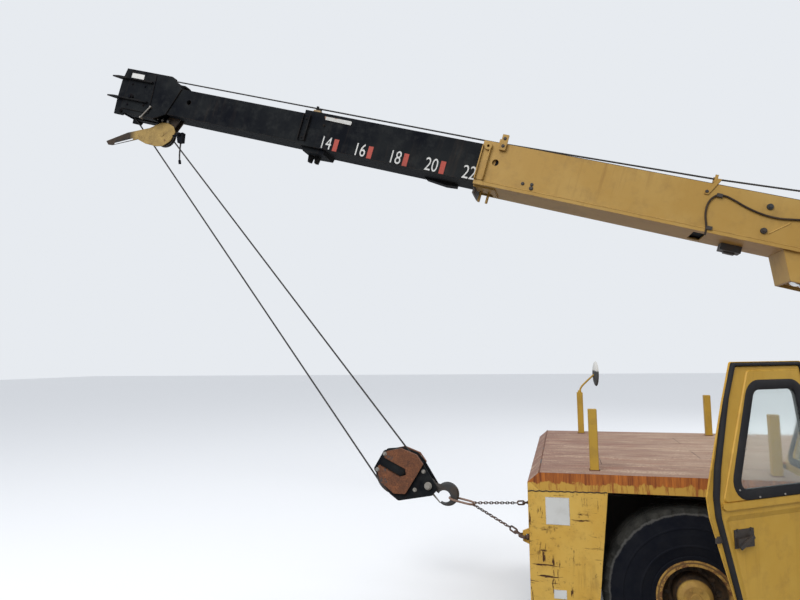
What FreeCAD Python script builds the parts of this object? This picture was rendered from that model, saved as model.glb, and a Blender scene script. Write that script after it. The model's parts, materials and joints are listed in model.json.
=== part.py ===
"""Carry-deck mobile crane: carrier, slewing turret, three-section boom and its hook block.

Millimetres. Origin on the ground under the slew axis, X forward, Y to the machine's left, Z up.
The boom is drawn level with its pivot at the origin and then set at its parked angle.
"""
import math
import os

import FreeCAD
import Part

V = FreeCAD.Vector
AXIS_X = V(1, 0, 0)
AXIS_Y = V(0, 1, 0)
AXIS_Z = V(0, 0, 1)
RUNNING_GAP = 0.3
CLEAR = 12.0

# Carrier
HALF_WIDTH = 990.0
DECK_FRONT = 2750.0
DECK_TOP = 1079.0
DECK_PLATE = 12.0
SKIRT_DEPTH = 94.0
SKIRT_PLATE = 12.0
DECK_BACK = 1430.0
BUMPER_RUN = 64.0
BUMPER_TOP = DECK_TOP - 54.0
BUMPER_BOTTOM = 360.0
BUMPER_PLATE = 20.0
REAR_END = -1600.0
WEIGHT_LENGTH = 260.0
WEIGHT_TOP = 900.0
HOOD_FRONT = -690.0
HOOD_PLATE = 8.0
HOOD_TOP = DECK_TOP + 291.0
HOOD_SHOULDER = HOOD_TOP - 80.0
HOOD_SLOPE = 120.0
GRILLE_HALF = 500.0
GRILLE_LOW = WEIGHT_TOP + 60.0
GRILLE_HIGH = HOOD_SHOULDER - 60.0
RAIL_HALF = 330.0
RAIL_WIDTH = 90.0
RAIL_BOTTOM = 470.0
RAIL_TOP = 830.0
BEARER = 60.0
AXLE_ARCH = 225.0
AXLE_ARCH_TOP = 650.0
TURRET_WELL = 640.0
FENDER_INNER = HALF_WIDTH - 330.0
TANK_REAR = 480.0
TANK_FRONT = 1300.0
STAKE = 50.0
STAKE_HEIGHT = 305.0
STAKE_Y = HALF_WIDTH - 158.0
STAKE_FRONT = DECK_FRONT - 305.0
STAKE_BACK = DECK_FRONT - 1222.0
MIRROR_Z = 1568.0

# Wheels and axles
FRONT_AXLE = 1980.0
REAR_AXLE = -220.0
TYRE_RADIUS = 460.0
TYRE_WIDTH = 270.0
TRACK_HALF = HALF_WIDTH - 155.0
BEAD_RADIUS = 186.0
RIM_WELL = 150.0
HUB_CAP_RADIUS = 100.0
SPINDLE_RADIUS = 70.0
KINGPIN_Y = TRACK_HALF - 175.0
KINGPIN_RADIUS = 28.0
KNUCKLE_HALF = 95.0
YOKE_PLATE = 26.0
AXLE_RADIUS = 85.0
DIFF_RADIUS = 170.0

# Cab
CAB_FRONT = 1350.0
CAB_BACK = 520.0
CAB_INNER = RAIL_HALF + 50.0
CAB_CUT_X = 860.0
CAB_CUT_Y = HALF_WIDTH - 200.0
CAB_FLOOR = 480.0
STEP_Z = CAB_FLOOR - 190.0
CAB_SILL = DECK_TOP + 7.0
CAB_TOP = 1690.0
CAB_LEAN = math.tan(math.radians(17.0))
LEAN_RUN = (CAB_TOP - CAB_SILL) * CAB_LEAN
CAB_WALL = 40.0
ROOF_PLATE = 30.0
WINDOW_LOW = CAB_SILL + 20.0
WINDOW_HIGH = CAB_TOP - ROOF_PLATE - 50.0
WINDOW_EDGE = 60.0
WINDOW_ROUND = 45.0
GLASS = 6.0
SEAT_TOP = 905.0
SEAT_BACK = 475.0
SEAT_INNER = CAB_INNER + 0.369 * (HALF_WIDTH - CAB_INNER)
CAB_MIDDLE = (CAB_INNER + HALF_WIDTH) / 2
STEER_RADIUS = 155.0
DOOR_THICK = 38.0
DOOR_EDGE = 18.0
DOOR_PRESSING = 8.0
DOOR_OPEN = 145.0
DOOR_HINGE_X = CAB_FRONT + 2.0
DOOR_HINGE_Y = HALF_WIDTH + 12.0
DOOR_PIN_RADIUS = 11.0
HINGE_ZS = (600.0, 960.0)
HINGE_BARREL = 70.0

# Turret
SLEW_RADIUS = 420.0
SLEW_BASE = RAIL_TOP
SLEW_RING = 60.0
TURRET_PLATE = 30.0
CHEEK_GAP = 360.0
CHEEK_PLATE = 25.0
PIVOT_X = -147.0
PIVOT_Z = 2141.0
PIVOT_RADIUS = 40.0
LIFT_FOOT_X = 150.0
LIFT_FOOT_Z = 980.0

# Boom, measured along it from its pivot
BOOM_ANGLE = 17.04
BOOM_PLATE = 10.0
SLIDE_GAP = 12.0
BASE_REAR = -220.0
BASE_FRONT = 3440.0
BASE_HEIGHT = 330.0
BASE_WIDTH = 320.0
MID_REAR = 1680.0
MID_FRONT = 4930.0
MID_HEIGHT = BASE_HEIGHT - 2 * (BOOM_PLATE + SLIDE_GAP)
MID_WIDTH = BASE_WIDTH - 2 * (BOOM_PLATE + SLIDE_GAP)
FLY_REAR = 2940.0
FLY_FRONT = 6190.0
FLY_HEIGHT = MID_HEIGHT - 2 * (BOOM_PLATE + SLIDE_GAP)
FLY_WIDTH = MID_WIDTH - 2 * (BOOM_PLATE + SLIDE_GAP)
HEAD_END = FLY_FRONT + 580.0
HEAD_TOP = 209.0
HEAD_BOTTOM = -185.0
HEAD_PLATE = 14.0
HEAD_BACK = FLY_FRONT + 75.0
EAR_TIP = HEAD_END + 110.0
NOSE_PIN = HEAD_END - 152.0
NOSE_PIN_UP = -40.0
NOSE_SHEAVE = 130.0
GROOVE = 10.0
SHEAVE_WIDTH = 36.0
NOSE_PIN_RADIUS = 26.0
LOWER_PIN_RADIUS = 20.0
LOWER_SHEAVE = FLY_FRONT + 82.0
LOWER_SHEAVE_UP = -284.0
LOWER_SHEAVE_RADIUS = 100.0
DEAD_END = LOWER_SHEAVE - 94.0
DEAD_END_UP = LOWER_SHEAVE_UP - 26.0
GUARD_PLATE = 8.0
LIFT_PIN = 1195.0
LIFT_PIN_UP = -(BASE_HEIGHT / 2 + 125.0)
LIFT_EAR = 45.0
LIFT_PIN_RADIUS = 28.0
BARREL_RADIUS = 65.0
ROD_RADIUS = 38.0
BARREL_LENGTH = 1180.0
ROD_TAIL = 330.0
ROPE_HIGH = BASE_HEIGHT / 2 + 48.0
ROPE_RISE = 36.0
REAR_GUIDE = 1838.0
FRONT_GUIDE = BASE_FRONT - 96.0
MID_GUIDE = MID_FRONT - 40.0
WINCH_UP = BASE_HEIGHT / 2 + 110.0
DRUM_RADIUS = 62.0
DRUM_FLANGE = 100.0
WINCH_HALF = 110.0

# Hook block and tie-down, in the machine's frame at rest
ROPE_RADIUS = 7.0
BLOCK_X = 3825.0
BLOCK_Z = 869.0
BLOCK_SHEAVE = 167.0
BLOCK_PIN_X = 3585.0
BLOCK_PIN_Z = 785.0
BLOCK_PIN_RADIUS = 26.0
BLOCK_SHAFT = 22.0
BLOCK_INNER = 36.0
BLOCK_PLATE = 12.0
WEIGHT_PLATE = 26.0
HOOK_X = 3450.0
HOOK_Z = 722.0
HOOK_RADIUS = 85.0
THROAT_X = 3472.0
THROAT_Z = 704.0
THROAT_RADIUS = 47.0
HOOK_THICK = 44.0
RING_LENGTH = 200.0
RING_WIDTH = 110.0
RING_STOCK = 16.0
LUG_Y = 450.0
LUG_Z = 585.0
LUG_OUT = 70.0
LUG_BORE = 16.0
LINK_PITCH = 38.0
LINK_STOCK = 10.0
LINK_WIDTH = 36.0

# Outriggers
OUTRIGGER_TUBE = 130.0
OUTRIGGER_WALL = 10.0
OUTRIGGER_TRAVEL = 330.0
OUTRIGGER_DROP = 35.0
OUTRIGGER_Z = 860.0
FLOAT_RADIUS = 130.0
FRONT_OUTRIGGER = DECK_FRONT - 60.0
REAR_OUTRIGGER = REAR_END + 120.0
HOUSING_START = 300.0
HOUSING_LENGTH = 560.0
LEG_START = 330.0
LEG_LENGTH = LEG_START + OUTRIGGER_TRAVEL

# Outlines read off the side view, in the boom's own frame
HEAD_OUTLINE = [  # along, up
    (FLY_FRONT - 49, FLY_HEIGHT / 2 - 4), (HEAD_BACK, HEAD_TOP), (HEAD_END - 22, HEAD_TOP),
    (HEAD_END, 95), (HEAD_END, -65), (HEAD_END - 10, HEAD_BOTTOM - 25), (HEAD_END - 105, HEAD_BOTTOM - 25),
    (HEAD_END - 115, HEAD_BOTTOM), (HEAD_BACK + 80, HEAD_BOTTOM), (HEAD_BACK - 35, -FLY_HEIGHT / 2 - 4)]
GUARD_OUTLINE = [  # along, up
    (6146, -246), (6175, -330), (6235, -385), (6300, -400), (6420, -398), (6509, -376), (6758, -478),
    (6800, -482), (6831, -455), (6631, -338), (6415, -254), (6310, -185), (6240, -178), (6175, -200)]
GUARD_SLOT = [(6560, -374), (6745, -455), (6738, -468), (6556, -390)]  # along, up
BLOCK_OUTLINE = [  # X, Z of the black side plates
    (3920, 1032), (4004, 892), (3877, 712), (3814, 666), (3553, 714), (3519, 774), (3631, 956),
    (3680, 1008), (3790, 1044)]
CHEEK_OUTLINE = [  # X, Z of the rusty cheek weights
    (3896, 1026), (3783, 1050), (3666, 1006), (3618, 939), (3659, 870), (3755, 722), (3841, 722),
    (3941, 800), (3972, 894), (3954, 926), (3795, 843), (3745, 860), (3752, 903), (3914, 982)]


def box(x0, x1, y0, y1, z0, z1):
    return Part.makeBox(x1 - x0, y1 - y0, z1 - z0, V(x0, y0, z0))


def rod(start, along, radius, length):
    return Part.makeCylinder(radius, length, start, along)


def between(start, end, radius):
    line = end - start
    return Part.makeCylinder(radius, line.Length, start, line)


def slab_y(points, y0, y1):
    """A plate whose outline is given in X and Z, from y0 to y1."""
    face = Part.Face(Part.makePolygon([V(x, y0, z) for x, z in points + points[:1]]))
    return face.extrude(V(0, y1 - y0, 0))


def slab_z(points, z0, z1):
    """A plate whose outline is given in X and Y, from z0 to z1."""
    face = Part.Face(Part.makePolygon([V(x, y, z0) for x, y in points + points[:1]]))
    return face.extrude(V(0, 0, z1 - z0))


def slab_x(points, x0, x1):
    """A plate whose outline is given in Y and Z, from x0 to x1."""
    face = Part.Face(Part.makePolygon([V(x0, y, z) for y, z in points + points[:1]]))
    return face.extrude(V(x1 - x0, 0, 0))


def fused(shapes):
    whole = shapes[0].multiFuse(shapes[1:]) if len(shapes) > 1 else shapes[0]
    return whole.removeSplitter()


def mirrored(shape):
    return shape.mirror(V(0, 0, 0), AXIS_Y)


def both_sides(shape):
    return [shape, mirrored(shape)]


def rounded(shape, axis, radius):
    """Round the edges of a window's cutter that run along one axis."""
    edges = [e for e in shape.Edges
             if abs((e.Vertexes[-1].Point - e.Vertexes[0].Point).normalize().dot(axis)) > 0.9]
    return shape.makeFillet(radius, edges)


def turned(points, centre):
    """Turn a profile of radius and offset about a line along Y through a centre."""
    outline = Part.makePolygon([V(r, w, 0) for r, w in points + points[:1]])
    body = Part.Face(outline).revolve(V(0, 0, 0), AXIS_Y, 360)
    body.translate(centre)
    return Part.Solid(Part.Shell(body.Faces)) if body.ShapeType != "Solid" else body


def save(name, shape):
    solids = shape.Solids
    kept = solids[0] if len(solids) == 1 else Part.makeCompound(solids)
    kept.exportStep("parts/" + name + ".step")


def tube_x(x0, x1, width, height, wall):
    outer = box(x0, x1, -width / 2, width / 2, -height / 2, height / 2)
    inner = box(x0 - 1, x1 + 1, wall - width / 2, width / 2 - wall, wall - height / 2, height / 2 - wall)
    return outer.cut(inner)


def on_boom(shape):
    shape = shape.copy()
    shape.rotate(V(0, 0, 0), V(0, -1, 0), BOOM_ANGLE)
    shape.translate(V(PIVOT_X, 0, PIVOT_Z))
    return shape


def boom_point(along, up, y=0.0):
    angle = math.radians(BOOM_ANGLE)
    return V(
        PIVOT_X + along * math.cos(angle) - up * math.sin(angle),
        y,
        PIVOT_Z + along * math.sin(angle) + up * math.cos(angle),
    )


def chassis():
    rails = both_sides(box(REAR_END + WEIGHT_LENGTH, FRONT_OUTRIGGER - OUTRIGGER_TUBE / 2,
                           RAIL_HALF - RAIL_WIDTH, RAIL_HALF, RAIL_BOTTOM, RAIL_TOP))
    cross = [box(x, x + 2 * BEARER, -RAIL_HALF, RAIL_HALF, RAIL_BOTTOM + 40, RAIL_TOP - 40)
             for x in (REAR_END + WEIGHT_LENGTH, HOOD_FRONT - 110, CAB_FRONT - 650, DECK_BACK + 10,
                       DECK_FRONT - 450)]
    pedestal = box(-SLEW_RADIUS - 20, SLEW_RADIUS + 20, -RAIL_HALF, RAIL_HALF, RAIL_TOP - 160, RAIL_TOP)
    under_deck = DECK_TOP - DECK_PLATE
    bearers = []
    for x in (DECK_BACK + 10, FRONT_AXLE + 100, DECK_FRONT - 130):
        bearers.append(box(x, x + BEARER, SKIRT_PLATE - HALF_WIDTH, HALF_WIDTH - SKIRT_PLATE,
                           under_deck - BEARER, under_deck))
        bearers += both_sides(box(x, x + BEARER, RAIL_HALF - RAIL_WIDTH, RAIL_HALF, RAIL_TOP, under_deck))
    for x in (-640.0, 410.0):
        bearers += both_sides(box(x, x + 50, RAIL_HALF - 1, HALF_WIDTH - BEARER, under_deck - 40, under_deck))
        bearers += both_sides(box(x, x + 50, RAIL_HALF - 1, RAIL_HALF + 40, RAIL_TOP - 150, under_deck))
    cab_arms = [box(x, x + 2 * BEARER, RAIL_HALF, CAB_INNER, RAIL_BOTTOM, RAIL_TOP) for x in (700.0, 1180.0)]
    frame = fused(rails + cross + [pedestal] + bearers + cab_arms)
    for x in (FRONT_AXLE, REAR_AXLE):
        frame = frame.cut(box(x - AXLE_ARCH, x + AXLE_ARCH, -RAIL_HALF - 1, RAIL_HALF + 1, 0, AXLE_ARCH_TOP))
    return frame


def deck():
    plate = slab_z([
        (DECK_FRONT, -HALF_WIDTH), (DECK_FRONT, HALF_WIDTH), (DECK_BACK, HALF_WIDTH),
        (DECK_BACK, CAB_INNER - CLEAR), (CAB_CUT_X, CAB_INNER - CLEAR), (CAB_CUT_X, 0),
        (HOOD_FRONT + CLEAR, 0), (HOOD_FRONT + CLEAR, -HALF_WIDTH)], DECK_TOP - DECK_PLATE, DECK_TOP)
    well = rod(V(0, 0, DECK_TOP - 100), AXIS_Z, TURRET_WELL, 200)
    skirts = [
        box(DECK_BACK, DECK_FRONT, HALF_WIDTH - SKIRT_PLATE, HALF_WIDTH, DECK_TOP - SKIRT_DEPTH, DECK_TOP),
        box(HOOD_FRONT + CLEAR, DECK_FRONT, -HALF_WIDTH, SKIRT_PLATE - HALF_WIDTH, DECK_TOP - SKIRT_DEPTH,
            DECK_TOP),
    ]
    bevel = slab_y([(DECK_FRONT, DECK_TOP), (DECK_FRONT + BUMPER_RUN, BUMPER_TOP),
                    (DECK_FRONT + BUMPER_RUN - BUMPER_PLATE, BUMPER_TOP),
                    (DECK_FRONT - 4, DECK_TOP - DECK_PLATE)], -HALF_WIDTH, HALF_WIDTH)
    return fused([plate.cut(well)] + skirts + [bevel])


def fender():
    """The plate over the left rear wheel, behind the cab."""
    x0, x1 = HOOD_FRONT + CLEAR, CAB_BACK - CLEAR
    plate = box(x0, x1, FENDER_INNER, HALF_WIDTH, DECK_TOP - DECK_PLATE, DECK_TOP)
    plate = plate.cut(rod(V(0, 0, DECK_TOP - 100), AXIS_Z, TURRET_WELL, 200))
    skirt = box(x0, x1, HALF_WIDTH - SKIRT_PLATE, HALF_WIDTH, DECK_TOP - SKIRT_DEPTH, DECK_TOP)
    return fused([plate, skirt])


def bumper():
    face_x = DECK_FRONT + BUMPER_RUN
    inner_x = face_x - BUMPER_PLATE
    front = box(inner_x, face_x, -HALF_WIDTH, HALF_WIDTH, BUMPER_BOTTOM, BUMPER_TOP)
    skirt_low = DECK_TOP - SKIRT_DEPTH
    side = slab_y([(inner_x, BUMPER_BOTTOM), (inner_x, BUMPER_TOP), (DECK_FRONT, skirt_low),
                   (DECK_FRONT - 358, skirt_low),
                   (DECK_FRONT - 297, BUMPER_BOTTOM + 70), (DECK_FRONT - 280, BUMPER_BOTTOM)],
                  HALF_WIDTH - BUMPER_PLATE, HALF_WIDTH)
    tip_x = face_x + LUG_OUT
    lug = slab_y([(face_x, LUG_Z - 60), (face_x, LUG_Z + 60), (tip_x, LUG_Z + 30), (tip_x, LUG_Z - 30)],
                 LUG_Y - 12, LUG_Y + 12)
    lug = lug.cut(rod(V(tip_x - 32, LUG_Y - 20, LUG_Z), AXIS_Y, LUG_BORE, 40))
    return fused([front] + both_sides(side) + both_sides(lug))


def outrigger_direction(side):
    drop = math.radians(OUTRIGGER_DROP)
    return V(0, side * math.cos(drop), -math.sin(drop))


def outrigger(x, side, start, length, size, hollow):
    """A square tube along an outrigger's axis, from start to start + length along it."""
    tube = box(-size / 2, size / 2, start, start + length, -size / 2, size / 2)
    if hollow:
        inner = size / 2 - OUTRIGGER_WALL
        tube = tube.cut(box(-inner, inner, start - 1, start + length + 1, -inner, inner))
    tube.rotate(V(0, 0, 0), AXIS_X, -OUTRIGGER_DROP)
    if side < 0:
        tube = mirrored(tube)
    tube.translate(V(x, 0, OUTRIGGER_Z))
    return tube


def outrigger_housings(x):
    return [outrigger(x, side, HOUSING_START, HOUSING_LENGTH, OUTRIGGER_TUBE, True) for side in (1, -1)]


def outrigger_leg(x, side):
    size = OUTRIGGER_TUBE - 2 * OUTRIGGER_WALL - 2
    leg = outrigger(x, side, LEG_START, LEG_LENGTH, size, False)
    end = V(x, 0, OUTRIGGER_Z) + outrigger_direction(side) * (LEG_START + LEG_LENGTH)
    foot = rod(V(end.x, end.y, end.z - 60), AXIS_Z, FLOAT_RADIUS, 22)
    stem = rod(V(end.x, end.y, end.z - 45), AXIS_Z, 36, 60)
    return fused([leg, stem, foot])


def rear_box():
    weight = box(REAR_END, REAR_END + WEIGHT_LENGTH, 60 - HALF_WIDTH, HALF_WIDTH - 60,
                 BUMPER_BOTTOM + 60, WEIGHT_TOP)
    for side in (1, -1):
        weight = weight.cut(outrigger(REAR_OUTRIGGER, side, HOUSING_START - 60, 1200, OUTRIGGER_TUBE + 1,
                                      False))
    return weight


def hood_outline(inset):
    """The hood's side view, drawn in by a plate's thickness."""
    x0, x1 = REAR_END + 20 + inset, HOOD_FRONT - inset
    return [(x0, WEIGHT_TOP - inset), (x0, HOOD_SHOULDER - inset / 2),
            (x0 + HOOD_SLOPE - inset / 2, HOOD_TOP - inset),
            (x1, HOOD_TOP - inset), (x1, WEIGHT_TOP - inset)]


def engine_hood():
    half = HALF_WIDTH - 40
    outer = slab_y(hood_outline(0), -half, half)
    inner = slab_y(hood_outline(HOOD_PLATE), HOOD_PLATE - half, half - HOOD_PLATE)
    opening = box(REAR_END, REAR_END + 40, -GRILLE_HALF, GRILLE_HALF, GRILLE_LOW, GRILLE_HIGH)
    return outer.cut(inner).cut(opening)


def hood_grille():
    """Slats behind the opening in the hood's rear wall."""
    x0 = REAR_END + 20 + HOOD_PLATE
    frame = box(x0, x0 + 14, -GRILLE_HALF - 20, GRILLE_HALF + 20, GRILLE_LOW - 20, GRILLE_HIGH + 20)
    frame = frame.cut(box(x0 - 1, x0 + 15, 20 - GRILLE_HALF, GRILLE_HALF - 20, GRILLE_LOW + 20,
                          GRILLE_HIGH - 20))
    pitch = 32.0
    count = int((GRILLE_HIGH - GRILLE_LOW - 40) / pitch)
    slats = [box(x0 + 2, x0 + 8, -GRILLE_HALF, GRILLE_HALF, GRILLE_LOW + 20 + pitch * (i + 0.5),
                 GRILLE_LOW + 36 + pitch * (i + 0.5)) for i in range(count)]
    return fused([frame] + slats)


def exhaust():
    at = V(HOOD_FRONT - 210, 230 - HALF_WIDTH, HOOD_TOP)
    can = rod(at, AXIS_Z, 62, 150)
    pipe = rod(at, AXIS_Z, 30, 300)
    return fused([can, pipe]).cut(rod(at + V(0, 0, 200), AXIS_Z, 26, 120))


def engine_block():
    return box(REAR_END + 330, HOOD_FRONT - 70, 50 - RAIL_HALF, RAIL_HALF - 50, RAIL_TOP, HOOD_SHOULDER - 40)


def tanks():
    """Fuel and oil tank, hung outside the right rail between the axles."""
    tank = box(TANK_REAR, TANK_FRONT, 30 - HALF_WIDTH, -RAIL_HALF, RAIL_BOTTOM, RAIL_TOP + 130)
    long_edges = [e for e in tank.Edges if abs(e.Vertexes[0].X - e.Vertexes[1].X) > 500]
    return tank.makeFillet(40, long_edges)


def stakes():
    posts = []
    for x in (STAKE_FRONT, STAKE_BACK):
        posts += both_sides(box(x - STAKE / 2, x + STAKE / 2, STAKE_Y - STAKE / 2, STAKE_Y + STAKE / 2,
                                DECK_TOP, DECK_TOP + STAKE_HEIGHT))
    return Part.makeCompound(posts)


def mirror():
    x, y = STAKE_FRONT, -STAKE_Y
    foot = rod(V(x, y, DECK_TOP + STAKE_HEIGHT), AXIS_Z, 12, 30)
    arm = between(V(x, y, DECK_TOP + STAKE_HEIGHT + 15), V(x - 98, y, MIRROR_Z), 9)
    glass = rod(V(0, 0, -12), AXIS_Z, 1, 24)
    matrix = FreeCAD.Matrix()
    matrix.scale(85, 108, 1)
    glass = glass.transformGeometry(matrix)
    glass.rotate(V(0, 0, 0), AXIS_Y, 90)
    glass.rotate(V(0, 0, 0), AXIS_X, 90)
    glass.translate(V(x - 104, y, MIRROR_Z))
    return fused([foot, arm, glass])


def cab_plan(inset, front_x):
    """The cab in plan: square to the deck and cut back at its inner rear corner for the boom."""
    back = CAB_BACK + inset
    return [(back, HALF_WIDTH - inset), (front_x - inset, HALF_WIDTH - inset),
            (front_x - inset, CAB_INNER + inset),
            (CAB_CUT_X + inset * 0.45, CAB_INNER + inset), (back, CAB_CUT_Y + inset * 0.45)]


def cab_windows():
    """Cutters for the windscreen, the inner side window and the rear window."""
    front = box(0, CAB_FRONT + 200, CAB_INNER + WINDOW_EDGE, HALF_WIDTH - WINDOW_EDGE, WINDOW_LOW,
                WINDOW_HIGH)
    front = rounded(front, AXIS_X, WINDOW_ROUND)
    front = front.common(box(CAB_FRONT - LEAN_RUN - 90, CAB_FRONT + 100, CAB_INNER, HALF_WIDTH, CAB_SILL,
                             CAB_TOP))
    side = box(CAB_CUT_X + 60, CAB_FRONT - LEAN_RUN - 60, CAB_INNER - 10, CAB_INNER + CAB_WALL + 5,
               WINDOW_LOW, WINDOW_HIGH)
    rear = box(CAB_BACK - 10, CAB_BACK + CAB_WALL + 5, CAB_CUT_Y + 50, HALF_WIDTH - WINDOW_EDGE,
               WINDOW_LOW, WINDOW_HIGH)
    return front, rounded(side, AXIS_Y, WINDOW_ROUND), rounded(rear, AXIS_X, WINDOW_ROUND / 2)


def cab_body():
    """Cab walls with their window openings and door hinge pins; the left side is open for the door."""
    outer = slab_z(cab_plan(0, CAB_FRONT), CAB_FLOOR, CAB_TOP - ROOF_PLATE)
    inner = slab_z(cab_plan(CAB_WALL, CAB_FRONT), CAB_FLOOR + CAB_WALL, CAB_TOP)
    roof_low = CAB_TOP - ROOF_PLATE
    lean_cut = slab_y([(CAB_FRONT, CAB_SILL), (CAB_FRONT - LEAN_RUN, CAB_TOP), (CAB_FRONT + 10, CAB_TOP)],
                      0, HALF_WIDTH + 10)
    front = slab_y([(CAB_FRONT - CAB_WALL, CAB_SILL), (CAB_FRONT, CAB_SILL), (CAB_FRONT - LEAN_RUN, roof_low),
                    (CAB_FRONT - LEAN_RUN - CAB_WALL, roof_low)], CAB_INNER, HALF_WIDTH)
    shell = fused([outer.cut(inner).cut(lean_cut), front])
    door_hole = slab_y([(CAB_FRONT - 45, CAB_FLOOR + 60), (CAB_FRONT - 45, CAB_SILL),
                        (CAB_FRONT - 25 - LEAN_RUN, WINDOW_HIGH + 20), (CAB_BACK + 180, WINDOW_HIGH + 20),
                        (CAB_BACK + 60, CAB_SILL), (CAB_BACK + 150, CAB_FLOOR + 60)],
                       HALF_WIDTH - CAB_WALL - 20, HALF_WIDTH + 10)
    for hole in (door_hole,) + cab_windows():
        shell = shell.cut(hole)
    hinges = []
    for z in HINGE_ZS:
        low = z + HINGE_BARREL + RUNNING_GAP
        hinges.append(rod(V(DOOR_HINGE_X, DOOR_HINGE_Y, low), AXIS_Z, DOOR_PIN_RADIUS, 35))
        hinges.append(box(DOOR_HINGE_X - 11, DOOR_HINGE_X, HALF_WIDTH - 5, DOOR_HINGE_Y, low, low + 35))
    return fused([shell] + hinges)


def cab_roof():
    return slab_z(cab_plan(0, CAB_FRONT - LEAN_RUN + ROOF_PLATE * CAB_LEAN), CAB_TOP - ROOF_PLATE, CAB_TOP)


def cab_glass():
    """Windscreen, inner side pane and rear pane, each in the middle of its wall."""
    half = CAB_WALL / 2
    foot = CAB_FRONT - half - 20 * CAB_LEAN
    top = CAB_FRONT - half - (WINDOW_HIGH - CAB_SILL) * CAB_LEAN
    screen = slab_y([(foot, WINDOW_LOW), (foot + GLASS, WINDOW_LOW), (top + GLASS, WINDOW_HIGH),
                     (top, WINDOW_HIGH)],
                    CAB_INNER, HALF_WIDTH)
    side = box(0, CAB_FRONT, CAB_INNER + half - 3, CAB_INNER + half + 3, WINDOW_LOW, WINDOW_HIGH)
    rear = box(CAB_BACK + half - 3, CAB_BACK + half + 3, 0, HALF_WIDTH, WINDOW_LOW, WINDOW_HIGH)
    return Part.makeCompound([pane.common(hole) for pane, hole in zip((screen, side, rear), cab_windows())])


def cab_step():
    """A tread hung under the cab's door."""
    hangers = [box(x, x + 40, HALF_WIDTH - 62, HALF_WIDTH - 50, STEP_Z, CAB_FLOOR)
               for x in (CAB_FRONT - 430, CAB_FRONT - 190)]
    tread = box(CAB_FRONT - 450, CAB_FRONT - 130, HALF_WIDTH - 110, HALF_WIDTH, STEP_Z, STEP_Z + 12)
    return fused([tread] + hangers)


def door_outline(inset):
    """The door's edge, as distance from its hinge and height."""
    return [(DOOR_EDGE + inset, CAB_FLOOR + inset), (640 - inset, CAB_FLOOR + inset), (793 - inset, 1070),
            (656 - inset, CAB_TOP - 10 - inset), (200 + inset, CAB_TOP - 10 - inset),
            (DOOR_EDGE + inset, CAB_SILL)]


def door_window(thick):
    """The door's glass opening, rounded at its corners, through the given half thickness each way."""
    middle = -DOOR_THICK / 2
    cutter = slab_y([(70, 1100), (566, 1100), (500, 1557), (205, 1557)], middle - thick, middle + thick)
    return rounded(cutter, AXIS_Y, WINDOW_ROUND)


def at_door(shape):
    """Place a piece drawn in the closed door's plane, hinge at the origin, as it stands open."""
    shape = shape.copy()
    shape.rotate(V(0, 0, 0), AXIS_Z, 180 - DOOR_OPEN)
    shape.translate(V(DOOR_HINGE_X, DOOR_HINGE_Y, 0))
    return shape


def door():
    """The whole door with the pressed recess of its inner lower panel, hung on two barrels."""
    skin = slab_y(door_outline(0), -DOOR_THICK, 0).cut(door_window(DOOR_THICK))
    recess = slab_y([(90, CAB_FLOOR + 70), (600, CAB_FLOOR + 70), (706, CAB_SILL - 86), (90, CAB_SILL - 86)],
                    -DOOR_PRESSING, 1)
    barrels = [rod(V(0, 0, z), AXIS_Z, DOOR_PIN_RADIUS, HINGE_BARREL) for z in HINGE_ZS]
    straps = [box(0, 40, -10, -2, z, z + HINGE_BARREL) for z in HINGE_ZS]
    return at_door(fused([skin.cut(recess)] + barrels + straps))


def door_glass():
    return at_door(door_window(GLASS / 2))


def seat():
    y0, y1 = SEAT_INNER, HALF_WIDTH - 60
    rear = CAB_BACK + 225
    top = SEAT_TOP + SEAT_BACK
    base = box(rear + 25, rear + 235, y0 + 5, y1 - 30, CAB_FLOOR + CAB_WALL, SEAT_TOP - 85)
    cushion = box(rear, rear + 285, y0, y1, SEAT_TOP - 85, SEAT_TOP)
    back = slab_y([(rear, SEAT_TOP), (rear + 65, SEAT_TOP), (rear + 25, top), (rear - 30, top)], y0 + 50,
                  y1 - 20)
    return fused([base, rounded(cushion, AXIS_Y, 30), back])


def console():
    floor, wall = CAB_FLOOR + CAB_WALL, CAB_FRONT - CAB_WALL - 1
    body = slab_y([(wall - 159, floor), (wall, floor), (wall, CAB_SILL - 16), (wall - 79, CAB_SILL + 4),
                   (wall - 129, CAB_SILL - 106)], CAB_INNER + CAB_WALL + 1, HALF_WIDTH - 90)
    y = CAB_MIDDLE + 55
    column = between(V(wall - 109, y, CAB_SILL - 86), V(wall - 215, y, CAB_SILL + 55), 20)
    return fused([body, column])


def steering_wheel():
    ring = Part.makeTorus(STEER_RADIUS, 13)
    spokes = [box(-STEER_RADIUS, STEER_RADIUS, -12, 12, -6, 6),
              box(-12, 12, -STEER_RADIUS, STEER_RADIUS, -6, 6)]
    wheel = fused([ring] + spokes)
    wheel.rotate(V(0, 0, 0), AXIS_Y, -28)
    wheel.translate(V(CAB_FRONT - CAB_WALL - 220, CAB_MIDDLE + 55, CAB_SILL + 64))
    return wheel


def slew_ring():
    outer = rod(V(0, 0, SLEW_BASE), AXIS_Z, SLEW_RADIUS, SLEW_RING)
    return outer.cut(rod(V(0, 0, SLEW_BASE - 1), AXIS_Z, SLEW_RADIUS - 90, SLEW_RING + 2))


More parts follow.
